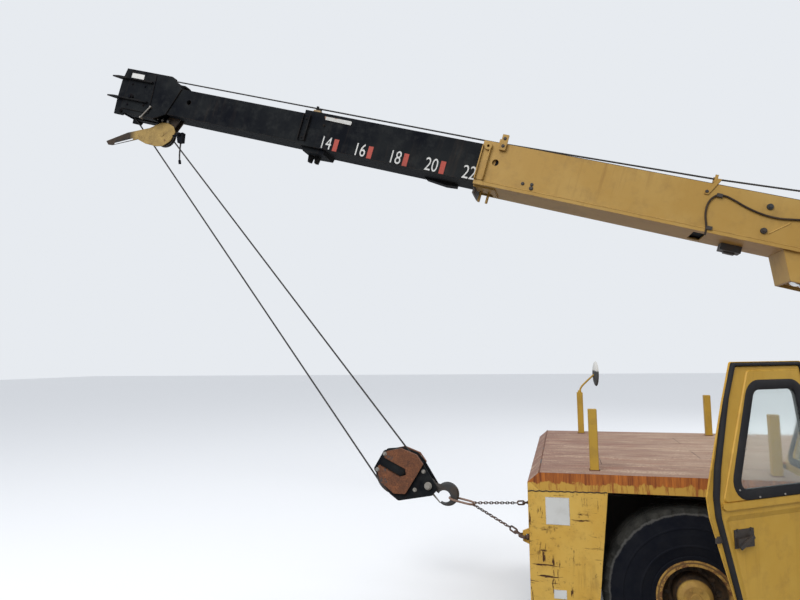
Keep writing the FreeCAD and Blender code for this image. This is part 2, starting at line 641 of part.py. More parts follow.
def turret():
    base_z = SLEW_BASE + SLEW_RING + RUNNING_GAP
    base = rod(V(0, 0, base_z), AXIS_Z, SLEW_RADIUS - 10, TURRET_PLATE)
    top = base_z + TURRET_PLATE
    y0 = CHEEK_GAP / 2
    outline = [(-400, top - 5), (330, top - 5), (260, 1300), (20, 2010), (PIVOT_X + 110, PIVOT_Z + 60),
               (PIVOT_X + 60, PIVOT_Z + 110), (PIVOT_X - 60, PIVOT_Z + 110), (PIVOT_X - 110, PIVOT_Z + 60),
               (PIVOT_X - 180, 2010), (-430, 1300)]
    cheek = slab_y(outline, y0, y0 + CHEEK_PLATE)
    cheek = cheek.cut(slab_y([(-290, 1130), (150, 1130), (90, 1420), (-290, 1420)], y0 - 5, y0 + 40))
    cheek = cheek.cut(rod(V(PIVOT_X, y0 - 5, PIVOT_Z), AXIS_Y, PIVOT_RADIUS, CHEEK_PLATE + 10))
    boss = rod(V(PIVOT_X, y0 + CHEEK_PLATE, PIVOT_Z), AXIS_Y, PIVOT_RADIUS + 35, 14)
    web = box(-400, -376, -y0, y0, top - 5, 1700)
    foot = slab_y([(LIFT_FOOT_X - 75, top - 5), (LIFT_FOOT_X + 75, top - 5),
                   (LIFT_FOOT_X + 45, LIFT_FOOT_Z + 40),
                   (LIFT_FOOT_X - 45, LIFT_FOOT_Z + 40)], 50, 50 + CHEEK_PLATE)
    pin = rod(V(LIFT_FOOT_X, -50 - CHEEK_PLATE, LIFT_FOOT_Z), AXIS_Y, LIFT_PIN_RADIUS, 100 + 2 * CHEEK_PLATE)
    reach = y0 + CHEEK_PLATE + 20
    pivot = rod(V(PIVOT_X, -reach, PIVOT_Z), AXIS_Y, PIVOT_RADIUS, 2 * reach)
    return fused([base] + both_sides(cheek) + both_sides(boss) + [web] + both_sides(foot) + [pin, pivot])


def lift_ends():
    return V(LIFT_FOOT_X, 0, LIFT_FOOT_Z), boom_point(LIFT_PIN, LIFT_PIN_UP)


def eye_cut(at, radius):
    return rod(V(at.x, -80, at.z), AXIS_Y, radius, 160)


def lift_barrel():
    foot, head = lift_ends()
    line = (head - foot).normalize()
    eye = rod(V(foot.x, -LIFT_EAR, foot.z), AXIS_Y, 55, 2 * LIFT_EAR)
    neck = rod(foot + line * 30, line, 42, 80)
    body = rod(foot + line * 90, line, BARREL_RADIUS, BARREL_LENGTH - 90)
    bore = rod(foot + line * 110, line, ROD_RADIUS + RUNNING_GAP, BARREL_LENGTH)
    return fused([eye, neck, body]).cut(bore).cut(eye_cut(foot, LIFT_PIN_RADIUS + RUNNING_GAP))


def lift_rod():
    foot, head = lift_ends()
    line = (head - foot).normalize()
    length = (head - foot).Length
    eye = rod(V(head.x, -LIFT_EAR, head.z), AXIS_Y, 55, 2 * LIFT_EAR)
    stem = rod(foot + line * ROD_TAIL, line, ROD_RADIUS, length - ROD_TAIL - 20)
    pin = rod(V(head.x, -LIFT_EAR - 4, head.z), AXIS_Y, LIFT_PIN_RADIUS, 2 * LIFT_EAR + 8)
    return fused([eye, stem, pin])


def section_end(front, width, height, reach):
    """The two upright flanges and the web between them on each side of a section's front end."""
    y0 = width / 2 - 2
    pieces = []
    for x in (front - 8, front - 66):
        pieces += both_sides(box(x, x + 8, y0, width / 2 + reach, 35 - height / 2, height / 2 - 40))
    pieces += both_sides(box(front - 66, front, y0, width / 2 + 6, 35 - height / 2, height / 2 - 40))
    return pieces


def rope_guide(at, foot, rope, over=22.0, roller=10.0):
    """Two posts and a roller that carry the hoist rope over a section's front end."""
    posts = both_sides(box(at - 10, at + 10, 26, 34, foot - 2, rope + over))
    bar = rod(V(at, -30, rope - ROPE_RADIUS - roller - 1), AXIS_Y, roller, 60)
    return posts + [bar]


def lift_bracket():
    """The closed box under the base section that the lift rod's eye is pinned in."""
    under = -BASE_HEIGHT / 2
    low = under - 188
    front_x = LIFT_PIN + 170
    side = slab_y([(front_x, under + 5), (front_x - 87, low), (LIFT_PIN - 75, low),
                   (LIFT_PIN - 185, under + 5)],
                  132, 146)
    front = slab_y([(front_x, under + 5), (front_x - 87, low), (front_x - 103, low),
                    (front_x - 16, under + 5)],
                   -146, 146)
    ear = slab_y([(LIFT_PIN - 150, under + 5), (LIFT_PIN + 130, under + 5), (LIFT_PIN + 50, LIFT_PIN_UP - 50),
                  (LIFT_PIN - 50, LIFT_PIN_UP - 50)], 55, 55 + CHEEK_PLATE)
    ear = ear.cut(rod(V(LIFT_PIN, 0, LIFT_PIN_UP), AXIS_Y, LIFT_PIN_RADIUS, 100))
    return both_sides(side) + [front] + both_sides(ear)


def wear_pads(x, width, height, inner_width, inner_height):
    """Slide pads inside a section's front end, just off the section that runs in it."""
    y0, y1 = inner_width / 2 + RUNNING_GAP, width / 2 - BOOM_PLATE + 1
    z0, z1 = inner_height / 2 + RUNNING_GAP, height / 2 - BOOM_PLATE + 1
    side = box(x, x + 110, y0, y1, -90, 90)
    top = box(x, x + 110, -90, 90, z0, z1)
    under = box(x, x + 110, -90, 90, -z1, -z0)
    return both_sides(side) + [top, under]


def boom_base():
    half_w, half_h = BASE_WIDTH / 2, BASE_HEIGHT / 2
    tube = tube_x(BASE_REAR, BASE_FRONT, BASE_WIDTH, BASE_HEIGHT, BOOM_PLATE)
    rear = box(BASE_REAR, BASE_REAR + 12, -half_w, half_w, -half_h, half_h)
    sleeve = rod(V(0, -half_w - 12, 0), AXIS_Y, PIVOT_RADIUS + 28, BASE_WIDTH + 24)
    hole_x, hole_up = BASE_FRONT - 43, half_h - 43
    boss = rod(V(hole_x, half_w - 2, hole_up), AXIS_Y, 28, 26)
    square = box(FRONT_GUIDE - 75, FRONT_GUIDE - 30, half_w - 2, half_w + 24, half_h - 55, half_h + 61)
    lips = both_sides(box(BASE_REAR + 100, BASE_FRONT - 80, half_w - 2, half_w + 8, -half_h, 26 - half_h))
    pad_box = box(BASE_FRONT - 165, BASE_FRONT, -120, 120, -half_h - 10, 2 - half_h)
    bolts = [rod(V(BASE_FRONT - x, 0, -half_h - 92), AXIS_Z, 10, 86) for x in (47.0, 107.0)]
    pads = wear_pads(BASE_FRONT - 120, BASE_WIDTH, BASE_HEIGHT, MID_WIDTH, MID_HEIGHT)
    bar_low = half_h + ROPE_RISE - 13
    arm = slab_y([(REAR_GUIDE + 67, half_h - 80), (REAR_GUIDE + 42, half_h - 80),
                  (REAR_GUIDE - 16, bar_low + 14),
                  (REAR_GUIDE + 14, bar_low + 14)], half_w - 2, half_w + 8)
    arm_bar = box(REAR_GUIDE - 12, REAR_GUIDE + 12, -40, half_w + 8, bar_low, bar_low + 14)
    guides = [arm, arm_bar] + rope_guide(FRONT_GUIDE, half_h, ROPE_HIGH)
    guides += rope_guide(REAR_GUIDE, half_h + ROPE_RISE, ROPE_HIGH + ROPE_RISE)
    pieces = section_end(BASE_FRONT, BASE_WIDTH, BASE_HEIGHT, 25) + both_sides(boss) + lips + pads + guides
    whole = fused([tube, rear, sleeve, square, pad_box] + bolts + lift_bracket() + pieces)
    whole = whole.cut(rod(V(0, -BASE_WIDTH, 0), AXIS_Y, PIVOT_RADIUS + RUNNING_GAP, 2 * BASE_WIDTH))
    whole = whole.cut(rod(V(hole_x, -half_w - 30, hole_up), AXIS_Y, 10, BASE_WIDTH + 60))
    whole = whole.cut(rod(V(BASE_FRONT - 122, half_w - 20, 16), AXIS_Y, 24, 40))
    whole = whole.cut(box(REAR_GUIDE - 16, REAR_GUIDE + 62, -110, 110, -half_h - 5, 15 - half_h))
    notch = box(BASE_FRONT - 130, BASE_FRONT + 5, -half_w + BOOM_PLATE, -30, -half_h - 60, -MID_HEIGHT / 2)
    return on_boom(whole.cut(notch))


def boom_mid():
    half_h = MID_HEIGHT / 2
    tube = tube_x(MID_REAR, MID_FRONT, MID_WIDTH, MID_HEIGHT, BOOM_PLATE)
    pads = wear_pads(MID_FRONT - 120, MID_WIDTH, MID_HEIGHT, FLY_WIDTH, FLY_HEIGHT)
    front = MID_FRONT
    keel = slab_y([(front - 30, 2 - half_h), (front - 60, -half_h - 40), (front - 240, -half_h - 34),
                   (front - 250, 2 - half_h)], -110, 110)
    lugs = [slab_y([(x + 22, -half_h - 30), (x + 12, -half_h - 97), (x - 12, -half_h - 97),
                    (x - 22, -half_h - 30)],
                   -20, 20) for x in (front - 91, front - 151)]
    skid_end = BASE_FRONT + 165
    skid = slab_y([(skid_end + 273, 2 - half_h), (skid_end + 251, -half_h - 12),
                   (skid_end + 91, -half_h - 30),
                   (skid_end, -half_h - 24), (skid_end, 2 - half_h)], -MID_WIDTH / 2 + 8, -50)
    slot = slab_y([(front - 178, 118), (front - 194, 88), (front - 420, 84), (front - 424, 112),
                   (front - 410, 118)], MID_WIDTH / 2 - 1, MID_WIDTH / 2 + 5)
    guide = rope_guide(MID_GUIDE, half_h, ROPE_HIGH, 8)
    ends = section_end(MID_FRONT, MID_WIDTH, MID_HEIGHT, 22)
    return on_boom(fused([tube, keel, skid, slot] + lugs + ends + guide + pads))


def boom_fly():
    half_w = FLY_WIDTH / 2
    tube = tube_x(FLY_REAR, FLY_FRONT + 40, FLY_WIDTH, FLY_HEIGHT, BOOM_PLATE)
    plate = slab_y(HEAD_OUTLINE, half_w - 2, half_w - 2 + HEAD_PLATE)
    doubler = slab_y([(HEAD_END - 347, HEAD_TOP - 19), (HEAD_END - 90, HEAD_TOP - 19),
                      (HEAD_END - 70, HEAD_BOTTOM + 35), (HEAD_END - 370, HEAD_BOTTOM + 35)],
                     half_w + HEAD_PLATE - 4, half_w + HEAD_PLATE + 6)
    outer = half_w + HEAD_PLATE - 3
    ears = []
    for up in (118, -62):
        flat = [(HEAD_END - 340, outer), (HEAD_END - 340, outer + 34), (HEAD_END + 20, outer + 34),
                (EAR_TIP, outer + 8), (HEAD_END, outer - 60), (HEAD_END - 4, outer)]
        ears += both_sides(slab_z(flat, up - 6, up + 6))
    cap = box(HEAD_BACK, HEAD_END - 40, -half_w, half_w, HEAD_TOP - 14, HEAD_TOP)
    sills = both_sides(box(HEAD_BACK + 90, HEAD_END - 120, 30, half_w, HEAD_BOTTOM, HEAD_BOTTOM + 12))
    pin = rod(V(NOSE_PIN, -half_w - 34, NOSE_PIN_UP), AXIS_Y, NOSE_PIN_RADIUS, FLY_WIDTH + 68)
    dead_end = rod(V(HEAD_END - 80, -half_w - 24, HEAD_BOTTOM + 10), AXIS_Y, 17, FLY_WIDTH + 48)
    roller = rod(V(HEAD_BACK + 40, -half_w, ROPE_HIGH - ROPE_RADIUS - 31), AXIS_Y, 30, FLY_WIDTH)
    head = fused([tube] + both_sides(plate) + both_sides(doubler) + sills + [cap, pin, dead_end])
    head = head.cut(box(HEAD_BACK - 5, HEAD_BACK + 90, -60, 60, HEAD_TOP - 20, HEAD_TOP + 10))
    head = head.cut(rod(V(FLY_FRONT - 150, half_w - 20, 18), AXIS_Y, 21, 40))
    return on_boom(fused([head, roller] + ears))


def sheave(centre, radius, width, pin):
    """A rope sheave about a pin along Y: hub, web, and a rim with its rope groove."""
    half = width / 2
    bore, floor = pin + RUNNING_GAP, radius - GROOVE
    flank = [(bore, half), (bore + 20, half), (bore + 24, half - 9), (floor - 18, half - 9),
             (floor - 14, half),
             (radius, half), (radius, ROPE_RADIUS + 2), (floor, ROPE_RADIUS)]
    return turned([(r, -w) for r, w in flank] + flank[::-1], centre)


def head_sheaves():
    wheels = [sheave(V(NOSE_PIN, y, NOSE_PIN_UP), NOSE_SHEAVE, SHEAVE_WIDTH, NOSE_PIN_RADIUS)
              for y in (-70, 0, 70)]
    wheels.append(sheave(V(LOWER_SHEAVE, 0, LOWER_SHEAVE_UP), LOWER_SHEAVE_RADIUS, SHEAVE_WIDTH,
                         LOWER_PIN_RADIUS))
    return Part.makeCompound([on_boom(wheel) for wheel in wheels])


def two_block_guard():
    """The hanging sheave's bracket under the fly, and the painted guard with its forked arm."""
    under = -FLY_HEIGHT / 2 - RUNNING_GAP
    ear = slab_y([(LOWER_SHEAVE - 130, under), (LOWER_SHEAVE - 10, under),
                  (LOWER_SHEAVE + 45, LOWER_SHEAVE_UP - 30),
                  (LOWER_SHEAVE - 45, LOWER_SHEAVE_UP - 30)], 22, 34)
    pin = rod(V(LOWER_SHEAVE, -40, LOWER_SHEAVE_UP), AXIS_Y, LOWER_PIN_RADIUS, 92)
    guard = slab_y(GUARD_OUTLINE, 40, 40 + GUARD_PLATE)
    guard = guard.cut(slab_y(GUARD_SLOT, 35, 45 + GUARD_PLATE))
    return on_boom(fused(both_sides(ear) + [pin, guard]))


def tangent(point, centre, radius, side):
    """Where a rope from a point in the XZ plane meets a sheave, on the side given."""
    line = point - centre
    share = radius / line.Length
    return centre + line.normalize() * (radius * share) + side * (radius * math.sqrt(1 - share * share))


def rope_runs():
    """The front fall off the nose sheave and the rear fall from its dead end, both down to the block."""
    hub = V(BLOCK_X, 0, BLOCK_Z)
    nose = boom_point(NOSE_PIN, NOSE_PIN_UP)
    reach = ROPE_RADIUS + RUNNING_GAP - GROOVE
    line = nose - hub
    tilt = (NOSE_SHEAVE - BLOCK_SHEAVE) / line.Length
    line.normalize()
    normal = V(line.z, 0, -line.x) * math.sqrt(1 - tilt * tilt) + line * tilt
    front = (nose + normal * (NOSE_SHEAVE + reach), hub + normal * (BLOCK_SHEAVE + reach))
    low = boom_point(DEAD_END, DEAD_END_UP)
    drop = (low - hub).normalize()
    return [front, (low, tangent(low, hub, BLOCK_SHEAVE + reach, V(-drop.z, 0, drop.x)))]


def falls():
    return Part.makeCompound([between(a, b, ROPE_RADIUS) for a, b in rope_runs()])


def hoist_winch():
    """Rope drum, its two side plates and its motor, on top of the base section's rear end."""
    foot = BASE_HEIGHT / 2
    plate = slab_y([(-110, foot), (110, foot), (70, WINCH_UP + 60), (-70, WINCH_UP + 60)],
                   WINCH_HALF, WINCH_HALF + 12)
    drum = rod(V(0, -WINCH_HALF, WINCH_UP), AXIS_Y, DRUM_RADIUS, 2 * WINCH_HALF)
    flanges = [rod(V(0, y, WINCH_UP), AXIS_Y, DRUM_FLANGE, 8) for y in (16 - WINCH_HALF, WINCH_HALF - 24)]
    motor = rod(V(0, WINCH_HALF, WINCH_UP), AXIS_Y, 50, 130)
    gear = rod(V(0, -WINCH_HALF - 12, WINCH_UP), AXIS_Y, 66, 14).translated(V(0, -14, 0))
    return on_boom(fused(both_sides(plate) + [drum] + flanges + [motor, gear]))


def block_frame():
    """The black side plates, the sheave's shaft and the pin that the hook hangs on."""
    plate = rounded(slab_y(BLOCK_OUTLINE, BLOCK_INNER, BLOCK_INNER + BLOCK_PLATE), AXIS_Y, 24)
    outer = BLOCK_INNER + BLOCK_PLATE
    strap = slab_y([(3950, 930), (3916, 978), (3756, 899), (3750, 864), (3792, 848)], outer - 1, outer + 14)
    shaft = rod(V(BLOCK_X, -outer, BLOCK_Z), AXIS_Y, BLOCK_SHAFT, 2 * outer)
    pin = rod(V(BLOCK_PIN_X, -outer - 14, BLOCK_PIN_Z), AXIS_Y, BLOCK_PIN_RADIUS, 2 * outer + 28)
    spacers = [between(V(x, -BLOCK_INNER - 1, z), V(x, BLOCK_INNER + 1, z), 8)
               for x, z in ((3640, 940), (3690, 735))]
    return fused(both_sides(plate) + both_sides(strap) + [shaft, pin] + spacers)


def block_cheeks():
    """The rusty weights bolted outside the side plates, open round the shaft's strap."""
    y0 = BLOCK_INNER + BLOCK_PLATE
    return Part.makeCompound(both_sides(rounded(slab_y(CHEEK_OUTLINE, y0, y0 + WEIGHT_PLATE), AXIS_Y, 8)))


def block_sheave():
    return sheave(V(BLOCK_X, 0, BLOCK_Z), BLOCK_SHEAVE, 48, BLOCK_SHAFT)


def hook():
    pin = V(BLOCK_PIN_X, 0, BLOCK_PIN_Z)
    half = HOOK_THICK / 2
    body = rod(V(HOOK_X, -half, HOOK_Z), AXIS_Y, HOOK_RADIUS, HOOK_THICK)
    body = body.makeFillet(14, [e for e in body.Edges if e.isClosed()])
    body = body.cut(rod(V(THROAT_X, -half - 1, THROAT_Z), AXIS_Y, THROAT_RADIUS, HOOK_THICK + 2))
    body = body.cut(slab_y([(THROAT_X, THROAT_Z), (THROAT_X + 105, THROAT_Z - 150),
                            (THROAT_X + 210, THROAT_Z),
                            (THROAT_X + 128, THROAT_Z + 74)], -50, 50))
    shank = between(pin, V(HOOK_X + 42, 0, HOOK_Z + 42), 24)
    eye = rod(V(pin.x, -30, pin.z), AXIS_Y, 42, 60)
    whole = fused([body, shank, eye])
    return whole.cut(rod(V(pin.x, -60, pin.z), AXIS_Y, BLOCK_PIN_RADIUS + RUNNING_GAP, 120))


def link(length, width, stock):
    """A chain link lying along X in the XY plane, with the corners of its outline cut."""
    def outline(half, side):
        cut = side * 0.45
        return [(half, side - cut), (half - cut, side), (cut - half, side), (-half, side - cut),
                (-half, cut - side), (cut - half, -side), (half - cut, -side), (half, cut - side)]
    outer = slab_z(outline(length / 2, width / 2), -stock / 2, stock / 2)
    return outer.cut(slab_z(outline(length / 2 - stock, width / 2 - stock), -stock, stock))


def laid(shape, start, end, share, turn):
    """Move a link drawn at the origin onto the line from start to end."""
    line = end - start
    shape = shape.copy()
    shape.rotate(V(0, 0, 0), AXIS_X, turn)
    heading = FreeCAD.Rotation(AXIS_X, line)
    shape.rotate(V(0, 0, 0), heading.Axis, math.degrees(heading.Angle))
    shape.translate(start + line * share)
    return shape


def ring_ends():
    """Where the tie-down ring bears in the hook's bowl, and its far end."""
    bowl = V(THROAT_X, 0, THROAT_Z)
    pull = (V(DECK_FRONT + BUMPER_RUN + LUG_OUT, 0, LUG_Z) - bowl).normalize()
    near = bowl + pull * (THROAT_RADIUS - RING_STOCK - 1.5)
    return near, near + pull * RING_LENGTH


def tie_down():
    near, far = ring_ends()
    pieces = [laid(link(RING_LENGTH, RING_WIDTH, RING_STOCK), near, far, 0.5, 0)]
    pull = (far - near).normalize()
    for side in (1, -1):
        end = V(DECK_FRONT + BUMPER_RUN + LUG_OUT + 5, side * LUG_Y, LUG_Z)
        start = far - pull * (RING_STOCK + LINK_STOCK + 1) + V(0, side * 14, 0)
        run = (end - start).Length
        count = round((run - 2 * LINK_STOCK) / LINK_PITCH)
        pitch = (run - 2 * LINK_STOCK) / count
        for i in range(count):
            share = (LINK_STOCK + pitch * (i + 0.5)) / run
            pieces.append(laid(link(pitch + 2 * LINK_STOCK - 0.6, LINK_WIDTH, LINK_STOCK), start, end,
                               share, 90 * ((i + 1) % 2)))
    return Part.makeCompound(pieces)


def axle(x, half, radius):
    tube = rod(V(x, -half, TYRE_RADIUS), AXIS_Y, radius, 2 * half)
    bulb = Part.makeSphere(DIFF_RADIUS, V(x, 0, TYRE_RADIUS))
    return fused([tube, bulb])


def front_axle():
    beam = axle(FRONT_AXLE, KINGPIN_Y - 115, AXLE_RADIUS)
    x0, x1 = FRONT_AXLE - 45, FRONT_AXLE + 45
    low = TYRE_RADIUS - KNUCKLE_HALF - 2 - YOKE_PLATE
    high = TYRE_RADIUS + KNUCKLE_HALF + 2
    yoke = [box(x0, x1, KINGPIN_Y - 130, KINGPIN_Y, z, z + YOKE_PLATE) for z in (low, high)]
    yoke.append(box(x0, x1, KINGPIN_Y - 130, KINGPIN_Y - 100, low, high + YOKE_PLATE))
    yoke.append(rod(V(FRONT_AXLE, KINGPIN_Y, low), AXIS_Z, KINGPIN_RADIUS, high + YOKE_PLATE - low))
    mount = box(FRONT_AXLE - 90, FRONT_AXLE + 90, RAIL_HALF - RAIL_WIDTH, RAIL_HALF, TYRE_RADIUS,
                AXLE_ARCH_TOP)
    return fused([beam] + both_sides(fused(yoke)) + both_sides(mount))


def rear_axle():
    tube = axle(REAR_AXLE, TRACK_HALF - 110, AXLE_RADIUS)
    stub = rod(V(REAR_AXLE, -TRACK_HALF - 20, TYRE_RADIUS), AXIS_Y, SPINDLE_RADIUS, 2 * TRACK_HALF + 40)
    mounts = both_sides(box(REAR_AXLE - 90, REAR_AXLE + 90, RAIL_HALF - RAIL_WIDTH, RAIL_HALF,
                            TYRE_RADIUS, AXLE_ARCH_TOP))
    return fused([tube, stub] + mounts)


def knuckle(side):
    y = side * KINGPIN_Y
    body = rod(V(FRONT_AXLE, y, TYRE_RADIUS - KNUCKLE_HALF), AXIS_Z, 62, 2 * KNUCKLE_HALF)
    body = body.cut(rod(V(FRONT_AXLE, y, 0), AXIS_Z, KINGPIN_RADIUS + RUNNING_GAP, 1000))
    end = side * (TRACK_HALF + 20)
    start = side * (KINGPIN_Y + 40)
    spindle = rod(V(FRONT_AXLE, min(start, end), TYRE_RADIUS), AXIS_Y, SPINDLE_RADIUS, abs(end - start))
    return fused([body, spindle])


def revolved(points, x, side):
    """A wheel's part from a profile of radius and distance outwards from the wheel's middle plane."""
    return turned([(r, w * side) for r, w in points], V(x, side * TRACK_HALF, TYRE_RADIUS))


def tyre(x, side):
    half = TYRE_WIDTH / 2
    low, high = BEAD_RADIUS, TYRE_RADIUS
    return revolved([(low, 30 - half), (low + 46, -half), (high - 60, 4 - half), (high - 15, 22 - half),
                     (high, 50 - half), (high, half - 50), (high - 15, half - 22), (high - 60, half - 4),
                     (low + 46, half), (low, half - 30)], x, side)


def wheel_rim(x, side):
    half = TYRE_WIDTH / 2
    hub = SPINDLE_RADIUS + RUNNING_GAP
    barrel = revolved([(BEAD_RADIUS, 30 - half), (BEAD_RADIUS, half - 30), (BEAD_RADIUS + 8, half - 12),
                       (BEAD_RADIUS - 22, half - 12), (BEAD_RADIUS - 26, half - 60), (RIM_WELL, half - 90),
                       (SPINDLE_RADIUS + 50, 10), (hub + 12, 10), (hub + 12, -20), (RIM_WELL, 30),
                       (BEAD_RADIUS - 26, 60 - half), (BEAD_RADIUS - 26, 30 - half)], x, side)
    cap = revolved([(0, 30), (0, half - 10), (HUB_CAP_RADIUS - 36, half - 10),
                    (HUB_CAP_RADIUS - 16, half - 30),
                    (HUB_CAP_RADIUS, 60), (HUB_CAP_RADIUS + 6, 8), (hub, 8), (hub, 30)], x, side)
    return fused([barrel, cap])


PIECES = {
    "chassis_frame": chassis,
    "carry_deck": deck,
    "rear_fender": fender,
    "front_bumper": bumper,
    "rear_counterweight": rear_box,
    "front_outrigger_housings": lambda: Part.makeCompound(outrigger_housings(FRONT_OUTRIGGER)),
    "rear_outrigger_housings": lambda: Part.makeCompound(outrigger_housings(REAR_OUTRIGGER)),
    "engine_hood": engine_hood,
    "hood_grille": hood_grille,
    "exhaust_stack": exhaust,
    "engine_block": engine_block,
    "side_tanks": tanks,
    "deck_stakes": stakes,
    "deck_mirror": mirror,
    "cab_body": cab_body,
    "cab_roof": cab_roof,
    "cab_glass": cab_glass,
    "cab_step": cab_step,
    "operator_seat": seat,
    "cab_console": console,
    "steering_wheel": steering_wheel,
    "cab_door": door,
    "door_glass": door_glass,
    "slew_ring": slew_ring,
    "turret_frame": turret,
    "lift_barrel": lift_barrel,
    "lift_rod": lift_rod,
    "boom_base": boom_base,
    "boom_mid": boom_mid,
    "boom_fly": boom_fly,
    "head_sheaves": head_sheaves,
    "two_block_guard": two_block_guard,
    "hoist_winch": hoist_winch,
    "hoist_falls": falls,
    "block_frame": block_frame,
    "block_cheeks": block_cheeks,
    "block_sheave": block_sheave,
    "hook": hook,
    "tie_down_chain": tie_down,
    "front_axle": front_axle,
    "rear_axle": rear_axle,
}

WHEELS = [  # name, axle position, side
    ("front_left", FRONT_AXLE, 1),
    ("front_right", FRONT_AXLE, -1),
    ("rear_left", REAR_AXLE, 1),
    ("rear_right", REAR_AXLE, -1),
]


def build():
    os.makedirs("parts", exist_ok=True)
    for name, make in PIECES.items():
        save(name, make())
    for name, x, side in WHEELS:
        save("tyre_" + name, tyre(x, side))
        save("rim_" + name, wheel_rim(x, side))
    for name, side in (("left", 1), ("right", -1)):
        save("knuckle_" + name, knuckle(side))
        save("outrigger_front_" + name, outrigger_leg(FRONT_OUTRIGGER, side))
        save("outrigger_rear_" + name, outrigger_leg(REAR_OUTRIGGER, side))


build()
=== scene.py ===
"""Looks for the carry-deck mobile crane: weathered paint, rust, markings, tread, ropes and cab details.

Metres, in the frame of the model: origin on the ground under the slew axis, X forward, Y left, Z up.
"""
import json
import math

import bmesh
import bpy
from mathutils import Matrix, Vector


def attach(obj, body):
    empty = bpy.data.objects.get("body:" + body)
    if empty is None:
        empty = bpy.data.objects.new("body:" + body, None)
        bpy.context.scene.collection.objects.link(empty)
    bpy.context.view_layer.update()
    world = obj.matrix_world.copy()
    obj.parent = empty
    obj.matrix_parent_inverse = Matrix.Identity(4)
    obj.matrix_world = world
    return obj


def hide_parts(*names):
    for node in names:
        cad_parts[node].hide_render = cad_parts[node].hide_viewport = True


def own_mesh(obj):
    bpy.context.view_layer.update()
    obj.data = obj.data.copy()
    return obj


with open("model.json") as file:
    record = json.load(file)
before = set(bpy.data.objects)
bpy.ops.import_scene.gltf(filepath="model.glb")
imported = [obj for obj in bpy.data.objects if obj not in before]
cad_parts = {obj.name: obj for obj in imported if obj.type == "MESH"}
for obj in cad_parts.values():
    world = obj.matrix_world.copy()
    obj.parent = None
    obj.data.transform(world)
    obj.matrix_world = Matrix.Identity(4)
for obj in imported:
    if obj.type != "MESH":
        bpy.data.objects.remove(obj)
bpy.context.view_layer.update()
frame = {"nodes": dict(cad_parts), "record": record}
NODES = frame["nodes"]

# The photograph's camera, solved from points on the boom, the deck and the wheel
CAMERA_AT = Vector((2.605, 4.469, 1.711))
CAMERA_YAW = math.radians(14.91)
CAMERA_PITCH = math.radians(5.605)
CAMERA_ROLL = math.radians(-0.676)
CAMERA_LENS = 27.07

# The boom's own frame
PIVOT = Vector((-0.147, 0.0, 2.141))
BOOM_ANGLE = math.radians(17.04)
ALONG = Vector((math.cos(BOOM_ANGLE), 0.0, math.sin(BOOM_ANGLE)))
ABOVE = Vector((-math.sin(BOOM_ANGLE), 0.0, math.cos(BOOM_ANGLE)))
SIDE = Vector((0.0, 1.0, 0.0))
BOOM_PLACE = Matrix.Translation(PIVOT) @ Matrix.Rotation(-BOOM_ANGLE, 4, "Y")
MID_HALF_WIDTH, BASE_HALF_WIDTH = 0.138, 0.160

# Wheels
WHEEL_FRONT, WHEEL_REAR = 1.980, -0.220
TRACK_HALF = 0.835
TYRE_RADIUS, TYRE_HALF, BEAD_RADIUS = 0.460, 0.135, 0.186
LUGS, STEPS_PER_LUG = 42, 4


def on_boom(along, side, up):
    """A point given along the boom from its pivot, to its left and above its middle line."""
    return BOOM_PLACE @ Vector((along, side, up))


# Materials

